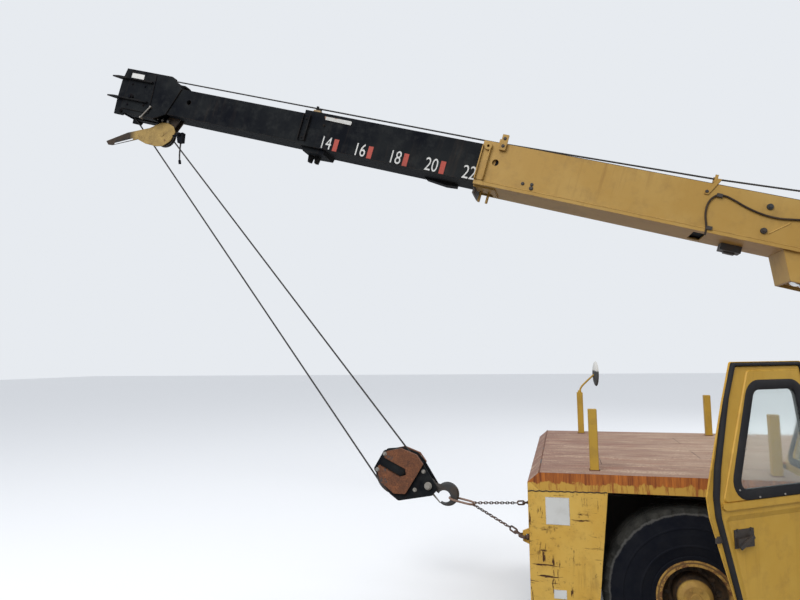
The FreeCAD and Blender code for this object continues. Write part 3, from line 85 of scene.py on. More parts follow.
class Nodes:
    """A node tree, with short ways to add to it."""

    def __init__(self, tree):
        self.tree = tree

    def feed(self, socket, value):
        """Give a socket a number, a colour or another node's output."""
        if isinstance(value, bpy.types.NodeSocket):
            self.tree.links.new(value, socket)
        elif socket.type == "RGBA":
            socket.default_value = (*value, 1.0)
        else:
            socket.default_value = value

    def add(self, kind, inputs=None, **settings):
        node = self.tree.nodes.new("ShaderNode" + kind)
        for name, value in settings.items():
            setattr(node, name, value)
        for key, value in (inputs or {}).items():
            self.feed(node.inputs[key], value)
        return node

    def maths(self, operation, a, b=0.0):
        return self.add("Math", {0: a, 1: b}, operation=operation).outputs[0]

    def times(self, a, b):
        return self.maths("MULTIPLY", a, b)

    def most(self, a, b):
        return self.maths("MAXIMUM", a, b)

    def less(self, a, b):
        return self.maths("SUBTRACT", a, b)

    def noise(self, scale, detail=4.0, rough=0.55, stretch=(1, 1, 1), turn=0.0):
        place = self.add("TexCoord").outputs["Object"]
        turned = self.add("Mapping", {"Vector": place, "Rotation": (0, turn, 0)}).outputs["Vector"]
        scaled = self.add("Mapping", {"Vector": turned, "Scale": stretch}).outputs["Vector"]
        inputs = {"Vector": scaled, "Scale": scale, "Detail": detail, "Roughness": rough}
        return self.add("TexNoise", inputs).outputs["Fac"]

    def ramp(self, value, low, high, start=0.0, end=1.0):
        inputs = {"Value": value, "From Min": low, "From Max": high, "To Min": start, "To Max": end}
        return self.add("MapRange", inputs).outputs["Result"]

    def patches(self, low, high, *noise, start=0.0, end=1.0, **more):
        """Noise cut to patches: start where it is under low, end where it is over high."""
        return self.ramp(self.noise(*noise, **more), low, high, start, end)

    def between(self, value, low, full, still, high):
        """1 from full to still, falling to 0 at low and high."""
        return self.times(self.ramp(value, low, full), self.ramp(value, high, still))

    def mix(self, share, a, b):
        """Mix two colours, each a socket or an RGB triple, by a share from 0 to 1."""
        return self.add("Mix", {0: share, 6: a, 7: b}, data_type="RGBA").outputs[2]

    def position(self):
        """The point's X, Y and Z in the model's frame, as it stands at rest."""
        place = self.add("TexCoord").outputs["Object"]
        return self.add("SeparateXYZ", {"Vector": place}).outputs[:]

    def worn_edges(self):
        """1 on worn outer edges, 0 on flat faces."""
        rounded = self.add("Bevel", {"Radius": 0.006}, samples=4).outputs["Normal"]
        normal = self.add("NewGeometry").outputs["Normal"]
        agree = self.add("VectorMath", {0: rounded, 1: normal}, operation="DOT_PRODUCT").outputs["Value"]
        return self.ramp(self.less(1.0, agree), 0.02, 0.25)

    def shows_backdrop(self):
        """1 for rays from the camera, off shiny faces and through glass, 0 for rays that light the object."""
        rays = self.add("LightPath").outputs
        return self.most(self.most(rays["Is Camera Ray"], rays["Is Glossy Ray"]), rays["Is Transmission Ray"])


class Look(Nodes):
    """A material with one principled shader."""

    def __init__(self, name):
        self.made = bpy.data.materials.new(name)
        self.made.use_nodes = True
        super().__init__(self.made.node_tree)
        self.tree.nodes.clear()
        self.shader = self.add("BsdfPrincipled")
        self.add("OutputMaterial", {"Surface": self.shader.outputs["BSDF"]})

    def finish(self, colour, rough, gloss=0.5, relief=None, strength=0.3, depth=0.001, **more):
        """Set the shader, with a bump where a relief is given, and hand back the material."""
        if relief is not None:
            raised = self.add("Bump", {"Height": relief, "Strength": strength, "Distance": depth})
            more["Normal"] = raised.outputs["Normal"]
        more |= {"Base Color": colour, "Roughness": rough, "Specular IOR Level": gloss}
        for name, value in more.items():
            self.feed(self.shader.inputs[name], value)
        return self.made


def enamel(name, paint, faded, dirt, rust, rust_share, streaks, rough=0.5, turn=0.0, gloss=0.4, scratches=0.0):
    """Old enamel: faded patches, dirt, streaks running down, scratches, chips to rust along the edges. On the boom's
    black paint the grey dirt patches are partly real scuffing and partly painted sheen.
    """
    look = Look(name)
    colour = look.mix(look.patches(0.38, 0.66, 2.1, 6, 0.6, turn=turn), paint, faded)
    # Patches of dirt colour: real dirt, and on the boom's black paint partly a painted sheen of soft grey patches.
    grime_and_sheen = look.patches(0.5, 0.78, 9.0, 8, 0.7, turn=turn)
    colour = look.mix(look.times(grime_and_sheen, 0.45), colour, dirt)
    runs = look.patches(0.52, 0.74, 1.0, 7, 0.72, (26, 26, 1.6), turn)
    run_share = look.times(look.times(runs, look.patches(0.42, 0.6, 1.7, 3, 0.5)), streaks)
    colour = look.mix(run_share, colour, rust)
    chips = look.patches(0.66 - 0.16 * rust_share, 0.72 - 0.14 * rust_share, 34.0, 9, 0.75)
    worn = look.times(look.worn_edges(), look.patches(0.4, 0.56, 14.0, 6, 0.7))
    flaked = look.most(look.times(chips, rust_share), worn)
    if scratches:
        level = look.patches(0.585, 0.615, 1.0, 6, 0.65, (4.5, 4.5, 46.0))
        upright = look.patches(0.59, 0.62, 1.0, 6, 0.65, (42.0, 42.0, 6.0))
        where = look.patches(0.42, 0.50, 4.3, 5, 0.6, end=scratches)
        flaked = look.most(flaked, look.times(look.most(level, upright), where))
    tone = look.mix(look.noise(60.0, 4, 0.6), rust, tuple(c * 0.35 for c in rust))
    relief = look.maths("ADD", look.times(flaked, -1.0), look.times(look.noise(5.0, 3, 0.5), 0.6))
    return look.finish(look.mix(flaked, colour, tone), look.ramp(look.most(flaked, run_share), 0, 1, rough, 0.85),
                       gloss, relief, 0.35, 0.0015)


def rusty(name, bright, dark, old_paint, paint_share, rough=0.85, scale=9.0):
    """Rust in several tones with what is left of a coat of paint."""
    look = Look(name)
    tone = look.mix(look.patches(0.35, 0.68, scale, 9, 0.7), bright, dark)
    fine = look.mix(look.patches(0.35, 0.7, scale * 9, 6, 0.7), tone, tuple(c * 0.6 for c in dark))
    left = look.patches(0.62 - 0.2 * paint_share, 0.66 - 0.2 * paint_share, scale * 0.45, 8, 0.68)
    return look.finish(look.mix(left, fine, old_paint), look.ramp(left, 0, 1, rough, 0.55),
                       relief=look.noise(scale * 12, 8, 0.7), strength=0.5, depth=0.0015)


def rubber(name, colour, dust, dust_share):
    look = Look(name)
    dirt = look.times(look.patches(0.45, 0.75, 7.0, 8, 0.65), dust_share)
    return look.finish(look.mix(dirt, colour, dust), 0.75, 0.3, look.noise(160.0, 4, 0.6), 0.25, 0.0006)


def deck_plate():
    """Walked-on steel sheets, pinkish brown at the front and tan behind, over a skirt rusted along its top."""
    look = Look("deck_rust")
    x, _, z = look.position()
    clouds = look.patches(0.32, 0.68, 2.6, 9, 0.72, (0.55, 1.8, 1.0), start=-0.25, end=0.45)
    tan_share = look.maths("ADD", look.ramp(x, 2.75, 1.25, 0.0, 0.75), clouds)
    colour = look.mix(tan_share, (0.235, 0.125, 0.095), (0.45, 0.32, 0.225))
    scuffs = look.patches(0.52, 0.66, 8.0, 9, 0.75, (0.5, 2.0, 1.0), end=0.55)
    colour = look.mix(scuffs, colour, (0.30, 0.115, 0.065))
    colour = look.mix(look.patches(0.50, 0.62, 150.0, 5, 0.7, end=0.6), colour, (0.12, 0.065, 0.045))
    sheets = look.add("TexBrick", {
        "Vector": look.add("TexCoord").outputs["Object"], "Scale": 1.0, "Mortar Size": 0.0035,
        "Mortar Smooth": 0.6, "Brick Width": 1.2, "Row Height": 0.33}).outputs["Fac"]
    colour = look.mix(look.times(sheets, 0.85), colour, (0.07, 0.035, 0.022))
    pale = look.times(look.patches(0.50, 0.60, 5.0, 9, 0.75, (0.45, 2.2, 1.0)), look.patches(0.46, 0.56, 90.0, 5, 0.7))
    colour = look.mix(look.times(pale, 0.75), colour, (0.62, 0.47, 0.34))
    orange = look.mix(look.patches(0.36, 0.64, 1.0, 7, 0.72, (48.0, 48.0, 2.5)), (0.52, 0.165, 0.030),
                      (0.17, 0.045, 0.015))
    yellow = look.mix(look.patches(0.5, 0.62, 1.0, 7, 0.7, (40.0, 40.0, 6.0)), (0.52, 0.30, 0.055),
                      (0.30, 0.10, 0.025))
    line = look.maths("ADD", z, look.patches(0.3, 0.7, 22.0, 5, 0.6, start=-0.016, end=0.016))
    skirt = look.mix(look.ramp(line, 1.024, 1.032), yellow, orange)
    normal = look.add("NewGeometry").outputs["True Normal"]
    upper = look.ramp(look.add("SeparateXYZ", {"Vector": normal}).outputs["Z"], 0.2, 0.3)
    relief = look.less(look.noise(60.0, 8, 0.7), look.times(sheets, 1.5))
    return look.finish(look.mix(upper, skirt, colour), 0.82, 0.3, relief, 0.45, 0.0015)


def wheel_radius(look):
    """Distance from the nearer wheel's centre, seen from the side."""
    x, _, z = look.position()
    off = look.less(look.maths("ABSOLUTE", look.less(x, (WHEEL_FRONT + WHEEL_REAR) / 2)),
                    (WHEEL_FRONT - WHEEL_REAR) / 2)
    rise = look.less(z, TYRE_RADIUS)
    return look.maths("SQRT", look.maths("ADD", look.times(off, off), look.times(rise, rise)))


def tyre_rubber():
    """Dusty tread, a paler scuffed shoulder and a near-black side wall."""
    look = Look("tyre_rubber")
    radius = look.maths("ADD", wheel_radius(look), look.patches(0.3, 0.7, 18.0, 5, 0.6, start=-0.006, end=0.006))
    dust = look.patches(0.35, 0.7, 11.0, 8, 0.7)
    wall = look.mix(look.times(dust, 0.35), (0.004, 0.005, 0.009), (0.022, 0.022, 0.024))
    tread = look.mix(dust, (0.014, 0.014, 0.013), (0.050, 0.048, 0.042))
    colour = look.mix(look.ramp(radius, 0.424, 0.434), wall, tread)
    shoulder = look.between(radius, 0.418, 0.424, 0.428, 0.434)
    colour = look.mix(look.times(shoulder, 0.5), colour, (0.13, 0.125, 0.115))
    return look.finish(colour, 0.85, 0.1, look.noise(160.0, 4, 0.6), 0.25, 0.0006)


def rim_paint():
    """A rusty yellow ring, a dark brown recess and a yellow hub."""
    look = Look("rim_paint")
    radius = wheel_radius(look)
    flakes = look.patches(0.46, 0.56, 30.0, 8, 0.72)
    ring = look.mix(flakes, (0.40, 0.23, 0.055), (0.13, 0.055, 0.02))
    ring = look.mix(look.between(radius, 0.176, 0.178, 0.184, 0.186), ring, (0.12, 0.065, 0.022))
    recess = look.mix(flakes, (0.060, 0.034, 0.016), (0.026, 0.018, 0.012))
    hub = look.mix(look.patches(0.4, 0.7, 9.0, 7, 0.7), (0.42, 0.26, 0.060), (0.27, 0.15, 0.04))
    colour = look.mix(look.ramp(radius, 0.160, 0.163), recess, ring)
    colour = look.mix(look.ramp(radius, 0.090, 0.086), colour, hub)
    return look.finish(colour, 0.7, 0.3, flakes)


def guard_paint():
    """The two-block guard: tan paint on its disc, dark bracket and arm with rust."""
    look = Look("guard_paint")
    x, y, z = look.position()
    patches = look.patches(0.38, 0.66, 13.0, 8, 0.7)
    tan = look.mix(patches, (0.40, 0.265, 0.085), (0.25, 0.165, 0.055))
    dark = look.mix(patches, (0.014, 0.010, 0.008), (0.050, 0.030, 0.016))
    up = look.less(look.times(look.less(z, PIVOT.z), math.cos(BOOM_ANGLE)),
                   look.times(look.less(x, PIVOT.x), math.sin(BOOM_ANGLE)))
    blade = look.most(look.ramp(x, 6.04, 6.01), look.ramp(up, -0.232, -0.252))
    disc = look.times(look.times(look.ramp(x, 6.27, 6.20), blade), look.ramp(y, 0.036, 0.039))
    rust = look.patches(0.60, 0.66, 26.0, 8, 0.72)
    return look.finish(look.mix(rust, look.mix(disc, dark, tan), (0.13, 0.05, 0.02)), 0.65, 0.3, patches)


def clear_glass():
    look = Look("window_glass")
    film = look.patches(0.4, 0.8, 6.0, 7, 0.7, start=0.03, end=0.22)
    return look.finish((0.86, 0.92, 0.90), film, **{"Transmission Weight": 0.9, "IOR": 1.2})


def metal(name, colour, share, noise, low, rough):
    """Bright metal, its roughness drifting between two values."""
    look = Look(name)
    return look.finish(colour, look.patches(low, 0.8, *noise, start=rough[0], end=rough[1]), Metallic=share)


def mirror_back():
    """A mirror's enamelled back, white above and grimy below."""
    look = Look("mirror_back")
    line = look.maths("ADD", look.position()[2], look.patches(0.3, 0.7, 40.0, 4, 0.6, start=-0.01, end=0.01))
    return look.finish(look.mix(look.ramp(line, 1.590, 1.604), (0.035, 0.035, 0.033), (0.68, 0.68, 0.66)), 0.5)


MATERIALS = {
    "yellow": enamel("yellow_paint", (0.48, 0.285, 0.060), (0.54, 0.34, 0.095), (0.20, 0.115, 0.035),
                     (0.15, 0.055, 0.018), 0.12, 0.55, 0.5),
    "cab": enamel("cab_paint", (0.56, 0.315, 0.038), (0.62, 0.375, 0.062), (0.27, 0.14, 0.03),
                  (0.16, 0.055, 0.015), 0.08, 0.3, 0.42, gloss=0.3),
    "bumper": enamel("bumper_paint", (0.58, 0.335, 0.055), (0.66, 0.43, 0.10), (0.26, 0.13, 0.03),
                     (0.085, 0.032, 0.014), 0.5, 1.0, 0.6, gloss=0.3, scratches=1.0),
    # Painted shade: the boom base's yellow is a darker copy of the chassis yellow, lowered for the shade on the boom's
    # side; its faded patches, dirt and streaks are real weathering.
    "yellow_with_painted_shade_on_boom": enamel("yellow_paint_with_painted_shade_on_boom", (0.40, 0.235, 0.052), (0.45, 0.285, 0.080), (0.20, 0.115, 0.040),
                          (0.14, 0.06, 0.022), 0.06, 0.35, 0.55, BOOM_ANGLE, 0.3),
    # Partly painted sheen: the black boom's grey dirt patches are partly real scuffing and partly stand in for the
    # soft grey gloss of its paint, whose own gloss is set near zero.
    "boom": enamel("boom_black_scuffs_and_painted_sheen", (0.005, 0.006, 0.009), (0.019, 0.021, 0.022), (0.050, 0.052, 0.050),
                   (0.08, 0.055, 0.04), 0.05, 0.22, 0.65, BOOM_ANGLE, 0.03),
    "head": enamel("head_paint", (0.003, 0.004, 0.008), (0.008, 0.010, 0.014), (0.022, 0.021, 0.021),
                   (0.05, 0.030, 0.020), 0.06, 0.2, 0.6, BOOM_ANGLE, 0.03),
    "black": enamel("chassis_paint", (0.014, 0.013, 0.013), (0.032, 0.029, 0.026), (0.06, 0.05, 0.04),
                    (0.11, 0.045, 0.02), 0.2, 0.3, 0.65, gloss=0.22),
    "stake": enamel("stake_paint", (0.47, 0.285, 0.030), (0.40, 0.240, 0.030), (0.17, 0.10, 0.03),
                    (0.13, 0.05, 0.018), 0.3, 0.6, 0.6),
    "white": enamel("white_marking", (0.66, 0.66, 0.64), (0.55, 0.55, 0.53), (0.2, 0.19, 0.18),
                    (0.10, 0.09, 0.08), 0.3, 0.2, 0.6),
    "red": enamel("red_marking", (0.40, 0.045, 0.025), (0.32, 0.055, 0.035), (0.1, 0.03, 0.02),
                  (0.06, 0.03, 0.03), 0.35, 0.2, 0.6),
    "label": enamel("blank_label", (0.66, 0.66, 0.64), (0.58, 0.58, 0.56), (0.35, 0.32, 0.28),
                    (0.20, 0.14, 0.10), 0.08, 0.10, 0.5),
    "deck": deck_plate(),
    "rust": rusty("bare_rust", (0.30, 0.105, 0.038), (0.095, 0.036, 0.018), (0.035, 0.03, 0.028), 0.2, 0.8, 14.0),
    "iron": rusty("cast_iron", (0.060, 0.042, 0.030), (0.025, 0.019, 0.016), (0.02, 0.02, 0.02), 0.5, 0.65, 16.0),
    "rope": rusty("greased_rope", (0.032, 0.029, 0.026), (0.014, 0.013, 0.012), (0.05, 0.04, 0.032), 0.2, 0.6, 60.0),
    "galvanised": rusty("galvanised_steel", (0.42, 0.40, 0.37), (0.26, 0.24, 0.21), (0.16, 0.10, 0.06), 0.25, 0.45,
                        40.0),
    "worn_plate": rusty("worn_plate", (0.62, 0.62, 0.60), (0.50, 0.49, 0.46), (0.24, 0.11, 0.05), 0.42, 0.45, 16.0),
    "chain": rusty("chain_steel", (0.14, 0.062, 0.032), (0.050, 0.028, 0.018), (0.03, 0.022, 0.018), 0.4, 0.6, 30.0),
    "ring": rusty("ring_steel", (0.40, 0.26, 0.20), (0.21, 0.12, 0.08), (0.10, 0.05, 0.03), 0.3, 0.45, 22.0),
    "rubber": rubber("black_rubber", (0.008, 0.008, 0.010), (0.045, 0.042, 0.040), 0.3),
    "vinyl": rubber("seat_vinyl", (0.018, 0.017, 0.017), (0.06, 0.052, 0.045), 0.35),
    "hose": rubber("hose_rubber", (0.030, 0.019, 0.012), (0.12, 0.075, 0.04), 0.5),
    "pad": rubber("wear_pad", (0.34, 0.24, 0.13), (0.16, 0.11, 0.07), 0.6),
    "tyre": tyre_rubber(),
    "rim": rim_paint(),
    "guard": guard_paint(),
    "glass": clear_glass(),
    "mirror": metal("mirror_glass", (0.55, 0.57, 0.6), 0.9, (30.0, 5, 0.6), 0.4, (0.06, 0.3)),
    "mirror_back": mirror_back(),
    "chrome": metal("chrome_rod", (0.55, 0.55, 0.55), 1.0, (40.0, 6, 0.7), 0.3, (0.12, 0.4)),
}
SLOT_LOOK = {  # the record's slot: the material that shows it
    "yellow_paint": "yellow", "boom_black": "boom", "deck_plate": "deck", "chassis_black": "black",
    "cast_iron": "iron", "rusty_steel": "rust", "wire_rope": "rope", "window_glass": "glass",
    "mirror_back": "mirror", "seat_vinyl": "vinyl", "black_plastic": "rubber", "chrome_rod": "chrome",
    "tyre": "tyre", "rim_yellow": "rim",
}
NODE_LOOK = {
    # The boom base takes the darker yellow, whose darkness is painted shade.
    "front_bumper": "bumper", "two_block_guard": "guard", "boom_base": "yellow_with_painted_shade_on_boom", "cab_body": "cab",
    "cab_roof": "cab", "block_cheeks": "rust",
}


def dress_nodes():
    slots = {row["node"]: row["material_slot"] for row in frame["record"]["subparts"]}
    for name, node in NODES.items():
        look = NODE_LOOK.get(name) or SLOT_LOOK[slots[name]]
        node.data.materials.clear()
        node.data.materials.append(MATERIALS[look])


# Pieces and their shapes

def mesh_from(name, build):
    """Fill a new mesh with the bmesh work that build does."""
    work = bmesh.new()
    build(work)
    mesh = bpy.data.meshes.new(name)
    work.to_mesh(mesh)
    work.free()
    return mesh


def add_piece(name, shape, body, look, smooth=False):
    """Add a piece whose shape is a mesh or a function that builds one, riding on a body."""
    mesh = mesh_from(name, shape) if callable(shape) else shape
    piece = bpy.data.objects.new(name, mesh)
    bpy.context.scene.collection.objects.link(piece)
    mesh.materials.clear()
    mesh.materials.append(MATERIALS[look])
    if smooth:
        mesh.shade_smooth()
    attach(piece, body)
    return piece


def block(work, corner_low, corner_high, place=Matrix.Identity(4)):
    low, high = Vector(corner_low), Vector(corner_high)
    size = Matrix.Diagonal((*(high - low), 1.0))
    bmesh.ops.create_cube(work, size=1.0, matrix=place @ Matrix.Translation((low + high) / 2) @ size)


def ring_of(work, points):
    return [work.verts.new(point) for point in points]


def bridge(work, rings, closed_rings=True, closed_run=False):
    """Quads between neighbouring rings of vertices."""
    pairs = list(zip(rings, rings[1:]))
    if closed_run:
        pairs.append((rings[-1], rings[0]))
    for a, b in pairs:
        count = len(a)
        for i in range(count if closed_rings else count - 1):
            j = (i + 1) % count
            work.faces.new((a[i], a[j], b[j], b[i]))


def circle(radius, steps=12):
    return [(radius * math.cos(2 * math.pi * i / steps), radius * math.sin(2 * math.pi * i / steps))
            for i in range(steps)]


def cylinder(work, start, end, radius, steps=20, tip=None):
    """A round bar or, with a tip radius, a cone, with closed ends."""
    line = Vector(end) - Vector(start)
    turn = line.to_track_quat("Z", "Y").to_matrix().to_4x4()
    middle = Matrix.Translation((Vector(start) + Vector(end)) / 2)
    bmesh.ops.create_cone(work, cap_ends=True, segments=steps, radius1=radius, radius2=radius if tip is None else tip,
                          depth=line.length, matrix=middle @ turn)


def bolt(work, at, out, size):
    """A hexagon head on its washer; size is the head's radius and out the way it faces."""
    at, out = Vector(at), Vector(out).normalized()
    cylinder(work, at - out * 0.001, at + out * size * 0.22, size * 1.45, 16, size * 1.38)
    cylinder(work, at + out * size * 0.2, at + out * size * 0.95, size, 6, size * 0.93)


def prism(work, outline, y0, y1, place=Matrix.Identity(4)):
    """A plate whose outline is given in X and Z, between y0 and y1."""
    rings = [ring_of(work, [place @ Vector((x, y, z)) for x, z in outline]) for y in (y0, y1)]
    bridge(work, rings)
    work.faces.new(rings[0])
    work.faces.new(list(reversed(rings[1])))


def bevel_edges(work, offset, segments=2, angle=0.5):
    edges = [e for e in work.edges if len(e.link_faces) == 2 and e.calc_face_angle(0) > angle]
    bmesh.ops.bevel(work, geom=edges, offset=offset, segments=segments, affect="EDGES", profile=0.7,
                    clamp_overlap=True)


def spline_points(points):
    """A smooth line drawn towards the given points, as a NURBS curve runs."""
    curve = bpy.data.curves.new("route", "CURVE")
    curve.dimensions = "3D"
    curve.resolution_u = 10
    spline = curve.splines.new("NURBS")
    spline.points.add(len(points) - 1)
    for point, place in zip(spline.points, points):
        point.co = (*place, 1.0)
    spline.order_u = 3
    spline.use_endpoint_u = True
    holder = bpy.data.objects.new("route", curve)
    route = [v.co.copy() for v in bpy.data.meshes.new_from_object(holder).vertices]
    bpy.data.objects.remove(holder)
    return route


def sweep(work, route, section, twist=0.0, closed=False):
    """Carry a cross-section of (side, up) pairs along a route, turning it by twist a metre."""
    count = len(route)
    normal = None
    rings = []
    travelled = 0.0
    for i, point in enumerate(route):
        ahead = route[(i + 1) % count] if closed or i + 1 < count else point
        behind = route[i - 1] if closed or i > 0 else point
        tangent = (ahead - behind).normalized()
        if normal is None:
            normal = tangent.orthogonal().normalized()
        normal = (normal - tangent * normal.dot(tangent)).normalized()
        across = tangent.cross(normal)
        if i > 0:
            travelled += (point - route[i - 1]).length
        turn = twist * travelled
        c, t = math.cos(turn), math.sin(turn)
        rings.append(ring_of(work, [point + normal * (a * c - b * t) + across * (a * t + b * c) for a, b in section]))
    bridge(work, rings, closed_run=closed)
    if not closed:
        work.faces.new(list(reversed(rings[0])))
        work.faces.new(rings[-1])


def run(start, end, step):
    start, end = Vector(start), Vector(end)
    count = max(2, int((end - start).length / step))
    return [start.lerp(end, i / count) for i in range(count + 1)]


def bead(work, start, end, radius, step=0.05, sides=8):
    """A straight weld bead."""
    sweep(work, run(start, end, step), circle(radius, sides))


def rounded_loop(corners, radius, grow=0.0, steps=7):
    """A convex outline with rounded corners, moved outwards by grow; the same count of points each time."""
    count = len(corners)
    area = sum(corners[i][0] * corners[(i + 1) % count][1] - corners[(i + 1) % count][0] * corners[i][1]
               for i in range(count))
    turn = 1 if area > 0 else -1
    points = []
    for i in range(count):
        here, after, before = Vector(corners[i]), Vector(corners[(i + 1) % count]), Vector(corners[i - 1])
        d0, d1 = (here - before).normalized(), (after - here).normalized()
        n0, n1 = Vector((d0.y, -d0.x)) * turn, Vector((d1.y, -d1.x)) * turn
        half = (n0 + n1).normalized()
        centre = here - half * (radius / half.dot(n0))
        start, sweep_by = math.atan2(n0.y, n0.x), n0.angle_signed(n1)
        for k in range(steps + 1):
            angle = start - sweep_by * k / steps
            points.append((centre.x + (radius + grow) * math.cos(angle), centre.y + (radius + grow) * math.sin(angle)))
    return points


def outline_ring(work, corners, radius, grow, up, place):
    """A rounded outline as a ring of vertices; the outline is in X and Z, and up in Y."""
    return ring_of(work, [place @ Vector((x, up, z)) for x, z in rounded_loop(corners, radius, grow)])


def band(work, corners, radius, steps, place):
    """A strip round an outline; steps are (grow, up) pairs across it."""
    bridge(work, [outline_ring(work, corners, radius, grow, up, place) for grow, up in steps])


# Floor, light and camera

FLOOR_DARK, FLOOR_PALE = (0.13, 0.125, 0.12), (0.86, 0.87, 0.89)
LIGHT_COLOUR, LIGHT_STRENGTH, SKY_COLOUR = (0.93, 0.96, 1.0), 0.80, (0.80, 0.83, 0.87)
LAMPS = [  # name, place, aimed at, size, watts
    ("key", (6.0, 9.0, 9.0), (2.0, 0.0, 1.5), 7.0, 900.0),
    ("fill", (-6.0, -7.0, 8.0), (1.0, 0.0, 1.5), 8.0, 450.0),
]


def floor_and_light():
    scene = bpy.context.scene
    scene.view_settings.view_transform = "Standard"
    ground = Look("floor_grey")
    ground.finish(ground.mix(ground.shows_backdrop(), FLOOR_DARK, FLOOR_PALE), 0.95, 0.1)
    mesh = mesh_from("floor", lambda w: bmesh.ops.create_grid(w, x_segments=1, y_segments=1, size=60.0))
    mesh.materials.append(ground.made)
    floor = bpy.data.objects.new("floor", mesh)
    scene.collection.objects.link(floor)
    scene.world = bpy.data.worlds.new("studio")
    scene.world.use_nodes = True
    world = Nodes(scene.world.node_tree)
    light = world.tree.nodes["Background"]
    world.feed(light.inputs["Color"], LIGHT_COLOUR)
    world.feed(light.inputs["Strength"], LIGHT_STRENGTH)
    sky = world.add("Background", {"Color": SKY_COLOUR})
    both = world.add("MixShader", {"Fac": world.shows_backdrop(), 1: light.outputs[0], 2: sky.outputs[0]})
    world.feed(world.tree.nodes["World Output"].inputs["Surface"], both.outputs[0])
    for name, place, aim, size, watts in LAMPS:
        data = bpy.data.lights.new(name, "AREA")
        data.size = size
        data.energy = watts
        lamp = bpy.data.objects.new(name, data)
        lamp.location = place
        lamp.rotation_euler = (Vector(aim) - Vector(place)).to_track_quat("-Z", "Y").to_euler()
        scene.collection.objects.link(lamp)


def camera():
    data = bpy.data.cameras.new("camera")
    data.lens = CAMERA_LENS
    data.sensor_width = 36.0
    data.clip_end = 200.0
    eye = bpy.data.objects.new("camera", data)
    bpy.context.scene.collection.objects.link(eye)
    sy, cy = math.sin(CAMERA_YAW), math.cos(CAMERA_YAW)
    sp, cp = math.sin(CAMERA_PITCH), math.cos(CAMERA_PITCH)
    forward = Vector((sy * cp, -cy * cp, sp))
    right = Vector((-cy, -sy, 0.0))
    up = right.cross(forward)
    sr, cr = math.sin(CAMERA_ROLL), math.cos(CAMERA_ROLL)
    right, up = right * cr + up * sr, up * cr - right * sr
    turn = Matrix((right, up, -forward)).transposed().to_4x4()
    eye.matrix_world = Matrix.Translation(CAMERA_AT) @ turn
    bpy.context.scene.camera = eye


# Boom markings

MARK_SPACING, MARK_FIRST, MARK_UP = 0.2975, 4.680, -0.093
NUMERAL_HEIGHT, NUMERAL_WIDE = 0.101, 0.74
SQUARE_BEHIND, SQUARE_WIDE, SQUARE_HIGH = 0.088, 0.040, 0.098


def boom_marks():
    """Boom lengths in feet on both sides of the middle section, each with a red square."""
    for number, feet in enumerate((14, 16, 18, 20, 22)):
        at = MARK_FIRST - MARK_SPACING * number
        for side, tag in ((1, "left"), (-1, "right")):
            text = bpy.data.curves.new("mark", "FONT")
            text.body = str(feet)
            text.size = NUMERAL_HEIGHT / 0.70
            text.align_x = "CENTER"
            text.align_y = "CENTER"
            text.extrude = 0.0006
            holder = bpy.data.objects.new("mark", text)
            mesh = bpy.data.meshes.new_from_object(holder)
            bpy.data.objects.remove(holder)
            turn = Matrix((ALONG * -side, ABOVE, SIDE * side)).transposed().to_4x4()
            place = Matrix.Translation(on_boom(at, side * (MID_HALF_WIDTH + 0.0008), MARK_UP))
            mesh.transform(place @ turn @ Matrix.Diagonal((NUMERAL_WIDE, 1.0, 1.0, 1.0)))
            add_piece(f"mark_{feet}_{tag}", mesh, "mid_section", "white")
            middle = at - SQUARE_BEHIND
            y0, y1 = sorted(side * (MID_HALF_WIDTH + rise) for rise in (0.0002, 0.0014))
            add_piece(f"square_{feet}_{tag}", lambda w: block(
                w, (middle - SQUARE_WIDE / 2, y0, MARK_UP - SQUARE_HIGH / 2),
                (middle + SQUARE_WIDE / 2, y1, MARK_UP + SQUARE_HIGH / 2), BOOM_PLACE),
                "mid_section", "red")


# Tyres and rims

def lathe(work, wave, steps, place):
    """Turn about the Y axis a profile of radius and offset, which wave gives for each step."""
    rings = []
    for step in range(steps):
        angle = 2 * math.pi * step / steps
        rings.append(ring_of(work, [place @ Vector((r * math.cos(angle), w, r * math.sin(angle)))
                                    for r, w in wave(step)]))
    bridge(work, rings, closed_rings=False, closed_run=True)
    bmesh.ops.remove_doubles(work, verts=work.verts, dist=1e-6)


def tyre_profile(step):
    """Radius and offset from one bead over the tread to the other, at one step round the tyre."""
    phase = step % STEPS_PER_LUG
    zigzag = (0.0, 0.006, 0.0, -0.006)[phase]
    scallop = (0.0, 0.011, 0.015, 0.011)[phase]
    wall = [(BEAD_RADIUS, -0.032), (BEAD_RADIUS + 0.008, -0.014), (0.212, -0.010), (0.216, -0.016),
            (0.225, -0.013), (0.262, -0.003), (0.266, 0.0005), (0.272, 0.0005), (0.276, -0.003),
            (0.320, -0.001), (0.352, -0.003), (0.356, -0.0005), (0.362, -0.001), (0.366, -0.004),
            (0.392, -0.008), (0.412, -0.010), (0.428, -0.010 - scallop * 0.4),
            (0.446, -0.016 - scallop), (0.454, -0.024 - scallop * 1.2)]
    side = [(radius, TYRE_HALF + out) for radius, out in wall]
    top, floor = TYRE_RADIUS - 0.001, TYRE_RADIUS - 0.013
    tread = []
    for middle in (0.066, 0.022, -0.022, -0.066):
        centre = middle + zigzag
        tread += [(top, centre + 0.006), (floor, centre + 0.0035), (floor, centre - 0.0035), (top, centre - 0.006)]
    return side + tread + [(r, -w) for r, w in reversed(side)]


